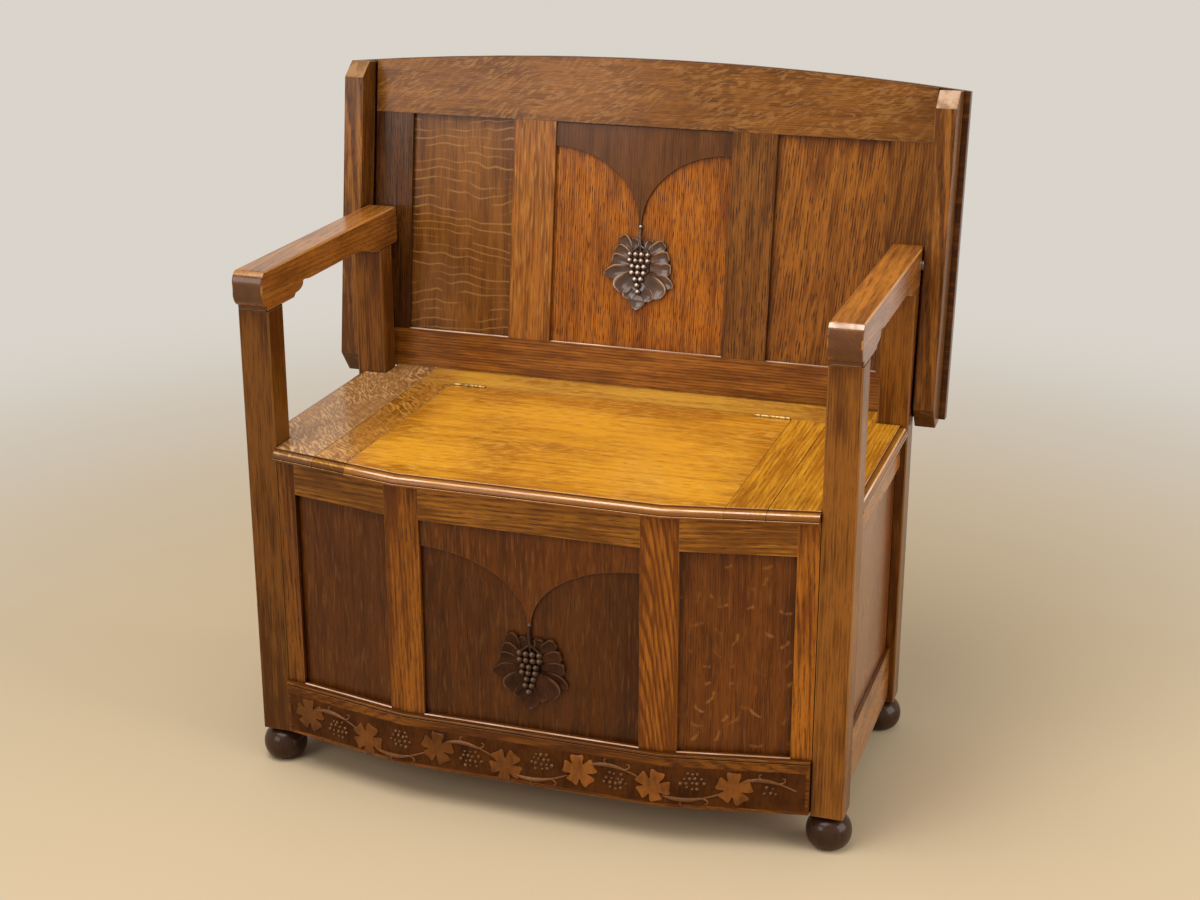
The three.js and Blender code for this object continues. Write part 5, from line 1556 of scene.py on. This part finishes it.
@dataclass
class LeafCarving:
    """A carved vine leaf with a bunch of grapes, its stem and the bead that the stem hangs from."""

    # The stem and the small leaves over the bunch: x, height, how proud and radius in millimetres
    STEMS: ClassVar[tuple] = (
        ((0, 65, 3.0, 1.7), (-1, 56, 4.6, 1.9), (0.5, 46, 6.0, 2.1), (2, 36, 6.6, 1.8), (2, 30, 6.0, 1.2)),
        ((1, 41, 6.6, 1.0), (-4, 37.5, 7.0, 1.9), (-9, 33.5, 6.8, 1.7), (-13, 27, 5.5, 0.6)),
        ((2, 41, 6.6, 1.0), (7, 38, 7.0, 1.9), (12, 33.5, 6.8, 1.7), (16, 26, 5.5, 0.6)),
        ((-2, 46, 5.4, 0.8), (-6, 48, 6.4, 1.7), (-9, 52, 6.0, 0.7)),
        ((5, 46, 5.4, 0.8), (9, 48.5, 6.4, 1.7), (12, 53, 6.0, 0.7)),
    )
    name: str
    ground: Ground
    grape_rows: tuple[int, ...]
    leaf_finish: OakFinish
    grape_finish: OakFinish
    lean: float = 0.0  # how far the leaf is turned, in degrees
    side: float = 0.0  # how far its middle stands off the centre line
    middle: float = 60 * MM  # height of its middle over its lowest tip
    grape: float = 4.9 * MM
    grape_pitch: float = 9.2 * MM
    grape_proud: float = 6.0 * MM
    grape_sizes: Point = (0.92, 1.05)
    fall: float = 0.10  # how fast the bunch falls back from its middle
    row_astray: Point = (-1.0, 1.0)  # how far a row stands off its place, in millimetres
    astray: Point = (-0.4, 0.4)  # how far a grape does, along and up
    uneven: Point = (-0.3, 0.3)  # and how far out
    top_row: float = 27 * MM
    bead: float = 3.6 * MM
    bead_height: float = 68 * MM
    bead_proud: float = 2.2 * MM
    steps: int = 14  # faces along a lobe, and across it
    lobes: tuple[Lobe, ...] = (
        Lobe((0, 46), (0, -42), 38, -1.8, curl=0.0, broadest=0.5),
        Lobe((0, 36), (0, -30), 15, 0.6, curl=0.0, broadest=0.4),
        Lobe((0, -24), (-3, -56), 13, 0.0, round=1.3, curl=0.15),
        Lobe((-10, 3), (-54, -4), 11.5, 0.6, -1, 1.3),
        Lobe((15, -1), (54, -18), 11, 0.6, 1, 1.4),
        Lobe((-12, 12), (-42, 20), 9.5, 1.6, -1, 3.0),
        Lobe((17, 8), (50, 8), 10, 1.6, 1, 3.0),
        Lobe((-5, -18), (-18.5, -39), 9, 1.0, -1, 2.6, 0.6),
        Lobe((8, -19), (19, -41), 9, 1.0, 1, 2.6, 0.6),
        Lobe((-12, 20), (-36, 37), 9.5, 2.6, -1, 2.4),
        Lobe((18, 19), (46, 28), 10, 2.6, 1, 2.6),
        Lobe((-13, 29), (-28, 54), 8.5, 1.6, -1, 2.6),
        Lobe((16, 30), (38, 46), 9, 1.6, 1, 2.8),
        Lobe((-5, 32), (-9, 51), 6.5, 2.4, -1, 2.2),
        Lobe((12, 32), (18, 49), 6.5, 2.4, 1, 2.2),
        Lobe((-8, -3), (-33, -27), 14, 2.4, -1, 2.2, broadest=0.66),
        Lobe((11, -4), (38, -33), 14.5, 2.4, 1, 2.2, broadest=0.66),
    )

    def spot(self, x: float, z: float, proud: float) -> Vector:
        """Places a point of the leaf, from millimetres right of, above and in front of its middle."""
        lean = math.radians(self.lean)
        along, up = x * math.cos(lean) - z * math.sin(lean), x * math.sin(lean) + z * math.cos(lean)
        return self.ground.at(self.side + along * MM, self.middle + up * MM, proud * MM)

    def carve(self, mesh: MeshWork, lobe: Lobe) -> None:
        """Adds one lobe as a closed shell.

        Args:
            mesh: the mesh work.
            lobe: the lobe.
        """
        worn = mesh.verts.layers.float[WEAR_STAIN_AND_LIGHT]
        across = [math.sin(math.pi * (i / self.steps - 0.5)) for i in range(self.steps + 1)]
        along = [0.99 * math.sin(math.pi / 2 * i / self.steps) for i in range(self.steps + 1)]
        grid = []
        for s in along:
            row = []
            for q in across:
                vertex = mesh.verts.new(self.spot(*lobe.place(s, q), lobe.height(s, q)))
                vertex[worn] = lobe.worn(s, q)
                row.append(vertex)
            grid.append(row)
        for near, far in zip(grid, grid[1:]):
            for i in range(self.steps):
                mesh.faces.new((near[i], near[i + 1], far[i + 1], far[i]))
        last = self.steps
        rim = [(0, i) for i in range(last)] + [(i, last) for i in range(last)]
        rim += [(last, i) for i in range(last, 0, -1)] + [(i, 0) for i in range(last, 0, -1)]
        inset = (lobe.place(0.97 * along[i], 0.93 * across[j]) for i, j in rim)
        foot = [mesh.verts.new(self.spot(x, z, 0.0)) for x, z in inset]
        edge = [grid[i][j] for i, j in rim]
        Shapes.band(mesh, foot, edge)
        mesh.faces.new(foot)

    def leaf(self) -> Piece:
        """Carves the leaf, lobe over lobe."""
        mesh = bmesh.new()
        mesh.verts.layers.float.new(WEAR_STAIN_AND_LIGHT)
        for lobe in self.lobes:
            self.carve(mesh, lobe)
        return Shapes.piece(f"{self.name}_leaf", mesh, 60.0)

    def grapes(self) -> list[Mark]:
        """Sets out the bunch, each row between the grapes of the row above."""
        draw = random.Random(self.name)
        marks = []
        for row, count in enumerate(self.grape_rows):
            height = self.top_row - row * self.grape_pitch
            shift = self.side + draw.uniform(*self.row_astray) * MM
            for i in range(count):
                x = (i - (count - 1) / 2) * self.grape_pitch + shift + draw.uniform(*self.astray) * MM
                lift = self.grape_proud - abs(x - self.side) * self.fall + draw.uniform(*self.uneven) * MM
                place = self.ground.at(x, self.middle + height + draw.uniform(*self.astray) * MM, lift)
                marks.append(Mark(place, self.ground.turn(), self.grape * draw.uniform(*self.grape_sizes)))
        bead = self.ground.at(self.side, self.middle + self.bead_height, self.bead_proud)
        marks.append(Mark(bead, self.ground.turn(), self.bead))
        return marks

    def stems(self) -> list[Line]:
        """Draws the stem and the small curled leaves over the bunch."""
        return [
            [
                (self.ground.at(self.side + x * MM, self.middle + z * MM, proud * MM), girth * MM)
                for x, z, proud, girth in line
            ]
            for line in self.STEMS
        ]


@dataclass
class VineRelief:
    """The vine along the bottom rail, in millimetres where no unit stands: leaves, stems and berries."""

    leaves: tuple[Place, ...] = (
        (-342, 91, 20), (-243, 79, 65), (-133, 90, 12), (-33, 79.5, 50), (73, 90, 25), (176, 84, 70),
        (282, 88.5, 15),
    )  # x, height and turn in degrees
    leaf_radius: float = 25.5 * MM
    leaf_proud: float = 1.9 * MM
    stem_proud: float = 0.5 * MM
    stem_reach: Point = (0.13, 0.85)  # where a stem starts and ends between two leaves
    stem_girth: Point = (1.2, 1.9)  # its least radius, and how much it swells
    stem_points: int = 18
    swollen_points: int = 12  # how many of them its swelling takes
    tendrils: tuple[tuple[float, int], ...] = ((0.42, -1), (0.62, 1))  # where each starts, and its turn
    tendril_points: int = 12
    tendril_curl: Point = (7.0, 4.0)  # its first radius, and how much that shrinks
    tendril_girth: Point = (1.7, 0.9)  # its first radius, and how much it thins
    tendril_turn: float = 1.1  # how far it curls, in half turns
    tendril_drift: float = 5.0  # how far it runs along the rail
    tendril_rise: float = 0.8  # its height over its width
    tendril_proud: float = 0.3 * MM
    arch: float = 18.0
    arch_lead: float = 0.8  # under 1, its crest comes early
    arch_fullness: float = 0.8  # 1 for a sine, less for a fuller arch
    berry: float = 3.0 * MM
    berry_pitch: float = 7.4
    row_pitch: float = 7.03
    berry_proud: float = 0.3 * MM
    berry_sizes: Point = (0.7, 1.15)
    tumble: Point = (-0.8, 0.8)  # how far a berry is turned, in radians
    astray: Point = (-1.2, 1.2)  # how far a berry stands off its place
    bunch: tuple[int, ...] = (3, 4, 5, 3)  # berries in each row
    last_bunch: tuple[int, ...] = (2, 3)
    under_arch: float = -10.0  # height of a bunch's top row over the stem
    over_dip: float = 38.0
    last: Point = (378.0, 80.0)  # x and height of the stem's end
    half_lobe: tuple[Point, ...] = (
        (0.0, 0.94), (0.22, 0.95), (0.42, 1.01), (0.56, 1.03), (0.66, 0.98), (0.74, 0.86), (0.79, 0.73),
        (0.83, 0.61), (0.9, 0.52), (1.0, 0.47),
    )  # half a lobe's outline: share of its angle from the middle, and radius
    lobe_reach: tuple[float, ...] = (1.0, 0.94, 0.88, 0.86, 0.97)
    leaf_foot: float = -0.02  # height of a leaf's underside over its radius
    leaf_dish: tuple[Point, ...] = ((1.0, 0.7), (0.96, 1.0), (0.6, 0.75), (0.2, 0.9))  # radius and depth
    band: Place = (376.0, 59.0, 117.0)  # half length, foot and top of the tooled ground
    dent_pitch: float = 1.6
    dents: Point = (0.02, 0.42)  # how far the tooled ground stands in front of the rail
    dent_astray: Point = (-0.5, 0.5)
    ground_rim: float = -0.25 * MM
    ground_back: float = 0.8 * MM  # how far its skin reaches into the rail
    leaf_shades: tuple[float, ...] = (-0.6, -0.5, -0.55, -0.42, 0.0, -0.08, -0.3)  # 0 for unstained

    def wrap(self, piece: Piece) -> Piece:
        """Bends a flat relief round the canted rail.

        Args:
            piece: the relief, drawn with y as its height in front of the rail.

        Returns:
            The same piece.
        """
        mesh = bmesh.new()
        mesh.from_mesh(piece.data)
        for x in (-PLAN.BREAK_X, PLAN.BREAK_X):
            everything = mesh.verts[:] + mesh.edges[:] + mesh.faces[:]
            bmesh.ops.bisect_plane(mesh, geom=everything, plane_co=(x, 0, 0), plane_no=(1, 0, 0))
        out = PLAN.middle_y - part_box("front_bottom_rail")[0].y  # of the rail before the stiles
        for vertex in mesh.verts:
            vertex.co.y = PLAN.face_y(vertex.co.x, out - vertex.co.y)
        bmesh.ops.recalc_face_normals(mesh, faces=mesh.faces)
        mesh.to_mesh(piece.data)
        mesh.free()
        return piece

    def leaf_pattern(self) -> Piece:
        """Cuts one leaf of five square lobes, of radius 1, dished and facing z."""
        mesh = bmesh.new()
        thick = self.leaf_proud / self.leaf_radius
        half = math.pi / len(self.lobe_reach)
        lobe = [(-share, radius) for share, radius in self.half_lobe[:0:-1]] + list(self.half_lobe[:-1])
        outline = [
            (half * (2 * i + share), 0.5 + (radius - 0.5) * (2 * reach - 1))
            for i, reach in enumerate(self.lobe_reach) for share, radius in lobe
        ]
        levels = [(1.0, self.leaf_foot), *((inset, share * thick) for inset, share in self.leaf_dish)]
        layers = [
            [
                mesh.verts.new((radius * inset * math.cos(angle), radius * inset * math.sin(angle), height))
                for angle, radius in outline
            ]
            for inset, height in levels
        ]
        for outer, inner in zip(layers, layers[1:]):
            Shapes.band(mesh, outer, inner)
        for ring, height in ((layers[0], self.leaf_foot), (layers[-1], thick)):
            heart = mesh.verts.new((0, 0, height))
            for here, after in zip(ring, (*ring[1:], ring[0])):
                mesh.faces.new((here, after, heart))
        return Shapes.piece("vine_leaf_pattern", mesh, 35.0)

    def ground(self) -> Piece:
        """Tools the ground round the vine: a thin skin of small dents, a hair proud of the rail."""
        draw = random.Random("ground")
        mesh = bmesh.new()
        half, foot, top = self.band
        columns, rows = round(2 * half / self.dent_pitch), round((top - foot) / self.dent_pitch)
        skin = []
        for i in range(columns + 1):
            column = []
            for j in range(rows + 1):
                rim = i in (0, columns) or j in (0, rows)
                proud = self.ground_rim if rim else draw.uniform(*self.dents) * MM
                shift = 0.0 if rim else draw.uniform(*self.dent_astray)
                column.append(mesh.verts.new(self.flat(
                    -half + 2 * half * i / columns + shift, foot + (top - foot) * j / rows + shift, proud)))
            skin.append(column)
        for left, right in zip(skin, skin[1:]):
            for j in range(rows):
                mesh.faces.new((left[j], right[j], right[j + 1], left[j + 1]))
        rim = [edge for edge in mesh.edges if edge.is_boundary]
        backs = bmesh.ops.extrude_edge_only(mesh, edges=rim)["geom"]
        for vertex in (item for item in backs if isinstance(item, Corner)):
            vertex.co.y = self.ground_back
        bmesh.ops.holes_fill(mesh, edges=[edge for edge in mesh.edges if edge.is_boundary], sides=0)
        return Shapes.piece("vine_ground", mesh, 60.0)

    def flat(self, x: float, z: float, proud: float) -> Vector:
        """Gives a place on the flattened rail, from millimetres along and up it."""
        return Vector((x * MM, -proud, z * MM))

    def spans(self) -> list[tuple[Point, Point, int]]:
        """Pairs each leaf with the next, with 1 where the stem arches over and -1 where it dips."""
        stops = [*((x, z) for x, z, _ in self.leaves), self.last]
        return [(a, b, 1 if i % 2 == 0 else -1) for i, (a, b) in enumerate(zip(stops, stops[1:]))]

    def on_stem(self, span: tuple[Point, Point, int], u: float) -> Point:
        """Gives a point of the stem between two leaves, u from 0 to 1, in millimetres."""
        (ax, az), (bx, bz), way = span
        bow = math.sin(math.pi * u ** self.arch_lead) ** self.arch_fullness
        return ax + (bx - ax) * u, az + (bz - az) * u + way * self.arch * bow

    def stems(self) -> list[Line]:
        """Draws the stems and their tendrils on the flattened rail."""
        lines = []
        for span in self.spans():
            way = span[2]
            first, last = self.stem_reach
            thin, swell = self.stem_girth
            line = []
            for i in range(self.stem_points):
                u = first + (last - first) * i / (self.stem_points - 1)
                girth = (thin + swell * max(0.0, math.sin(math.pi * i / self.swollen_points))) * MM
                line.append((self.flat(*self.on_stem(span, u), self.stem_proud), girth))
            lines.append(line)
            for u, turn in self.tendrils:
                x, z = self.on_stem(span, u)
                lines.append(self.tendril(x, z, turn, way))
        return lines

    def tendril(self, x: float, z: float, turn: int, way: int) -> Line:
        """Curls a tendril off the stem.

        Args:
            x: where it starts.
            z: its height there.
            turn: 1 to curl right, -1 to curl left.
            way: 1 to curl upwards, -1 to curl downwards.

        Returns:
            The line with its thickness.
        """
        (wide, tighter), (thick, thinner) = self.tendril_curl, self.tendril_girth
        line = []
        for i in range(self.tendril_points):
            share = i / (self.tendril_points - 1)
            radius = wide - tighter * share
            angle = -math.pi / 2 + self.tendril_turn * math.pi * share
            px = x + turn * (radius * math.cos(angle) + self.tendril_drift * share)
            pz = z + way * self.tendril_rise * (wide + radius * math.sin(angle))
            line.append((self.flat(px, pz, self.tendril_proud), (thick - thinner * share) * MM))
        return line

    def stain(self, leaves: Piece) -> None:
        """Gives each leaf its own depth of stain."""
        mesh = leaves.data
        worn = mesh.attributes.new(WEAR_STAIN_AND_LIGHT, "FLOAT", "FACE")
        for face in mesh.polygons:
            nearest = min(range(len(self.leaves)), key=lambda i: abs(self.leaves[i][0] * MM - face.center.x))
            worn.data[face.index].value = self.leaf_shades[nearest]

    def berries(self) -> list[Mark]:
        """Sets out the bunches under the arches and over the dips."""
        draw = random.Random("berries")
        marks = []
        for span in self.spans():
            (ax, _), (bx, _), way = span
            middle_x = (ax + bx) / 2
            top = self.on_stem(span, 0.5)[1] + (self.under_arch if way > 0 else self.over_dip)
            rows = self.bunch if bx < self.last[0] else self.last_bunch
            for row, count in enumerate(rows):
                for i in range(count):
                    x = middle_x + (i - (count - 1) / 2) * self.berry_pitch + draw.uniform(*self.astray)
                    z = top - row * self.row_pitch + draw.uniform(*self.astray)
                    roll = Euler((math.pi / 2 + draw.uniform(*self.tumble), draw.uniform(*self.tumble), 0))
                    size = self.berry * draw.uniform(*self.berry_sizes)
                    marks.append(Mark(self.flat(x, z, self.berry_proud), roll, size))
        return marks


@dataclass
class Carving:
    """All the carved ornament of the bench."""

    materials: Materials
    berry_sides: int = 14
    berry_rings: int = 10
    crest: Vector = field(default_factory=lambda: Vector((-0.1, 0.42, 0.9)))  # the berry's painted highlight, towards its upper side
    rubbing: Point = (0.82, 0.14)  # how near the crest the painted highlight starts, and how soon it is full
    grape_flatness: float = 0.95
    berry_flatness: float = 0.7

    def __post_init__(self) -> None:
        """Builds the trees that the ornament is made with."""
        self.scatter = Scatter()
        self.ribs = Ribs()

    def drop(self, flatness: float) -> Piece:
        """Makes a berry of radius 1, with a painted highlight near its crest.

        Args:
            flatness: its height over its radius.

        Returns:
            The pattern.
        """
        mesh = bmesh.new()
        bmesh.ops.create_uvsphere(mesh, u_segments=self.berry_sides, v_segments=self.berry_rings, radius=1.0)
        worn = mesh.verts.layers.float.new(WEAR_STAIN_AND_LIGHT)
        start, reach = self.rubbing
        for vertex in mesh.verts:
            vertex[worn] = min(1.0, max(0.0, (vertex.co.dot(self.crest) - start) / reach))
            vertex.co.z *= flatness
        return Shapes.piece("berry_pattern", mesh, 75.0)

    def leaves(self) -> list[LeafCarving]:
        """Lists the two leaf carvings."""
        back = Ground.under("back_leaf_carving", UP_THE_BACK, BACK_NORMAL)
        front = Ground.under("front_leaf_carving", Vector((0, 0, 1)), Vector((0, -1, 0)))
        return [
            LeafCarving("back", back, (4, 4, 3, 3, 2, 1, 1), BRONZED, GRAPE, side=1.5 * MM),
            LeafCarving("front", front, (4, 4, 3, 3, 2, 2, 1), DUSKY, DUSKY_GRAPE, lean=2.0),
        ]

    def build(self) -> None:
        """Makes the carvings."""
        for carving in self.leaves():
            polish = self.materials.carved(carving.leaf_finish)
            fruit = self.materials.carved(carving.grape_finish)
            node = f"{carving.name}_leaf_carving"
            body = body_of(node)
            leaf = carving.leaf()
            leaf.data.materials.append(polish)
            deliver(leaf, body, [node])
            pattern = self.drop(self.grape_flatness)
            grapes = self.scatter.build(f"{carving.name}_grapes", carving.grapes(), pattern, fruit)
            deliver(grapes, body)
            stems = self.ribs.build(f"{carving.name}_leaf_stem", carving.stems(), fruit)
            deliver(stems, body)
        self.vine()

    def vine(self) -> None:
        """Makes the vine on the bottom rail."""
        vine, wood = VineRelief(), self.materials.carved
        ground = vine.ground()
        ground.data.materials.append(wood(VINE_GROUND))
        marks = [
            Mark(vine.flat(x, z, 0.0), Euler((math.pi / 2, -math.radians(turn), 0)), vine.leaf_radius)
            for x, z, turn in vine.leaves
        ]
        leaves = self.scatter.build("vine_leaves", marks, vine.leaf_pattern(), wood(VINE_LEAF))
        vine.stain(leaves)
        berry = self.drop(self.berry_flatness)
        pieces = (
            ground,
            leaves,
            self.ribs.build("vine_stems", vine.stems(), wood(VINE_STEM)),
            self.scatter.build("vine_berries", vine.berries(), berry, wood(VINE_BERRY)),
        )
        for piece in pieces:
            deliver(vine.wrap(piece), body_of("front_bottom_rail"))


@dataclass
class Ironwork:
    """Brass butts of the lid and the iron pegs that the back turns on."""

    materials: Materials

    def build(self) -> None:
        """Makes the hinge leaves and the pegs."""
        brass = self.materials.metal("aged_brass", (0.45, 0.28, 0.09), (0.24, 0.13, 0.045), 0.42)
        iron = self.materials.metal("turned_iron", (0.40, 0.38, 0.36), (0.16, 0.12, 0.09), 0.32)
        for label in SIDES:
            for node in (f"lid_hinge_fixed_leaf_{label}", f"lid_hinge_moving_leaf_{label}"):
                self.dress(node, brass, Slot.BRASS, 0.12 * MM)
            self.dress(f"pivot_peg_{label}", iron, Slot.IRON, 0.6 * MM)

    def dress(self, node: str, metal: Material, slot: Slot, ease: float) -> None:
        """Eases a metal piece and gives it its finish.

        Args:
            node: the node.
            metal: its material.
            slot: its slot; not used.
            ease: width of the easing.
        """
        piece = Shapes.eased_copy(node, ease)
        piece.data.materials.append(metal)
        deliver(piece, body_of(node), [node])


@dataclass(frozen=True)
class Lamp:
    """A soft square lamp that faces the bench's middle."""

    name: str
    place: Place
    aim_height: float
    power: float  # in watts
    size: float  # its side


@dataclass
class Studio:
    """Floor, lamps, world and the camera at the photograph's place."""

    floor_radius: float = 16.0
    floor_colour: Colour = (0.58, 0.46, 0.30)
    floor_roughness: float = 0.75
    wall_colour: Colour = (0.70, 0.66, 0.60)
    fade: Point = (0.7, 2.6)  # where the floor starts and ends its fade into the wall's colour
    world_strength: float = 0.5
    eye: Place = (0.8413, -2.4979, 1.3794)
    tilt_down: float = 0.3402
    turn: float = 0.3205
    lens: float = 59.106
    sensor: float = 36.0
    lamp_colour: Colour = (1.0, 0.97, 0.93)
    lamps: tuple[Lamp, ...] = (
        Lamp("ceiling_lamp", (-0.6, -0.9, 3.1), 0.4, 75.0, 2.2),
        Lamp("front_lamp", (-1.9, -3.2, 1.9), 0.4, 40.0, 1.8),
        Lamp("side_lamp", (3.2, -0.3, 1.5), 0.5, 75.0, 2.4),
    )

    def floor(self) -> None:
        """Lays the floor."""
        mesh = bmesh.new()
        bmesh.ops.create_circle(mesh, cap_ends=True, segments=96, radius=self.floor_radius)
        data = bpy.data.meshes.new("studio_floor")
        mesh.to_mesh(data)
        mesh.free()
        floor = stand("studio_floor", data)
        lay = Surface("pale_floor")
        lay.feed(Base_Color=self.floor_colour, Roughness=self.floor_roughness)
        place = lay.node("ShaderNodeTexCoord").outputs["Object"]
        away = lay.node("ShaderNodeVectorMath", {0: place}, operation="LENGTH").outputs["Value"]
        far = lay.scaled(lay.span(away, *self.fade), self.seen_directly(lay))
        wall = lay.node("ShaderNodeEmission", {"Color": self.wall_colour, "Strength": 1.0}).outputs[0]
        mixed = lay.node("ShaderNodeMixShader", {0: far, 1: lay.shader.outputs[0], 2: wall}).outputs[0]
        lay.put(lay.tree.nodes["Material Output"].inputs["Surface"], mixed)
        data.materials.append(lay.material)

    @staticmethod
    def seen_directly(lay: Sockets) -> Socket:
        """Gives 1 for camera, glossy and transmitted rays, which see the pale wall."""
        path = lay.node("ShaderNodeLightPath").outputs
        seen = lay.math("MAXIMUM", path["Is Camera Ray"], path["Is Transmission Ray"])
        return lay.math("MAXIMUM", seen, path["Is Glossy Ray"])

    def world(self) -> None:
        """Lights the room evenly; the camera and reflections see a pale wall."""
        world = bpy.data.worlds.new("pale_room")
        bpy.context.scene.world = world
        world.use_nodes = True
        lay = Sockets(world.node_tree)
        glow = world.node_tree.nodes["Background"]
        lay.put(glow.inputs["Color"], self.wall_colour)
        strength = lay.span(self.seen_directly(lay), 0.0, 1.0, (self.world_strength, 1.0))
        lay.put(glow.inputs["Strength"], strength)

    def hang(self, lamp: Lamp) -> None:
        """Hangs a soft lamp."""
        data = bpy.data.lights.new(lamp.name, "AREA")
        data.energy = lamp.power
        data.size = lamp.size
        data.color = self.lamp_colour
        hung = stand(lamp.name, data)
        hung.location = lamp.place
        aim = Vector((0, 0, lamp.aim_height)) - Vector(lamp.place)
        hung.rotation_euler = aim.to_track_quat("-Z", "Y").to_euler()

    def camera(self) -> None:
        """Sets the camera."""
        data = bpy.data.cameras.new("eye")
        data.sensor_fit = "HORIZONTAL"
        data.sensor_width = self.sensor
        data.lens = self.lens
        eye = stand("eye", data)
        eye.location = self.eye
        eye.rotation_euler = (math.pi / 2 - self.tilt_down, 0.0, self.turn)
        bpy.context.scene.camera = eye

    def build(self) -> None:
        """Sets up the studio."""
        bpy.context.scene.view_settings.view_transform = "Standard"
        self.camera()
        self.floor()
        self.world()
        for lamp in self.lamps:
            self.hang(lamp)


def main() -> None:
    """Builds the studio and the bench, sub-assembly by sub-assembly."""
    logging.basicConfig(level=logging.INFO, format="%(name)s: %(message)s")
    Studio().build()
    materials = Materials()
    joinery = Joinery(materials)
    for part in (
        BoxFrame(joinery), BunFeet(materials), CantedFront(joinery), Seat(joinery), TipOverBack(joinery),
        Carving(materials), Ironwork(materials),
    ):
        part.build()
    LOG.info("%d materials", len(bpy.data.materials))


if __name__ == "__main__":
    main()
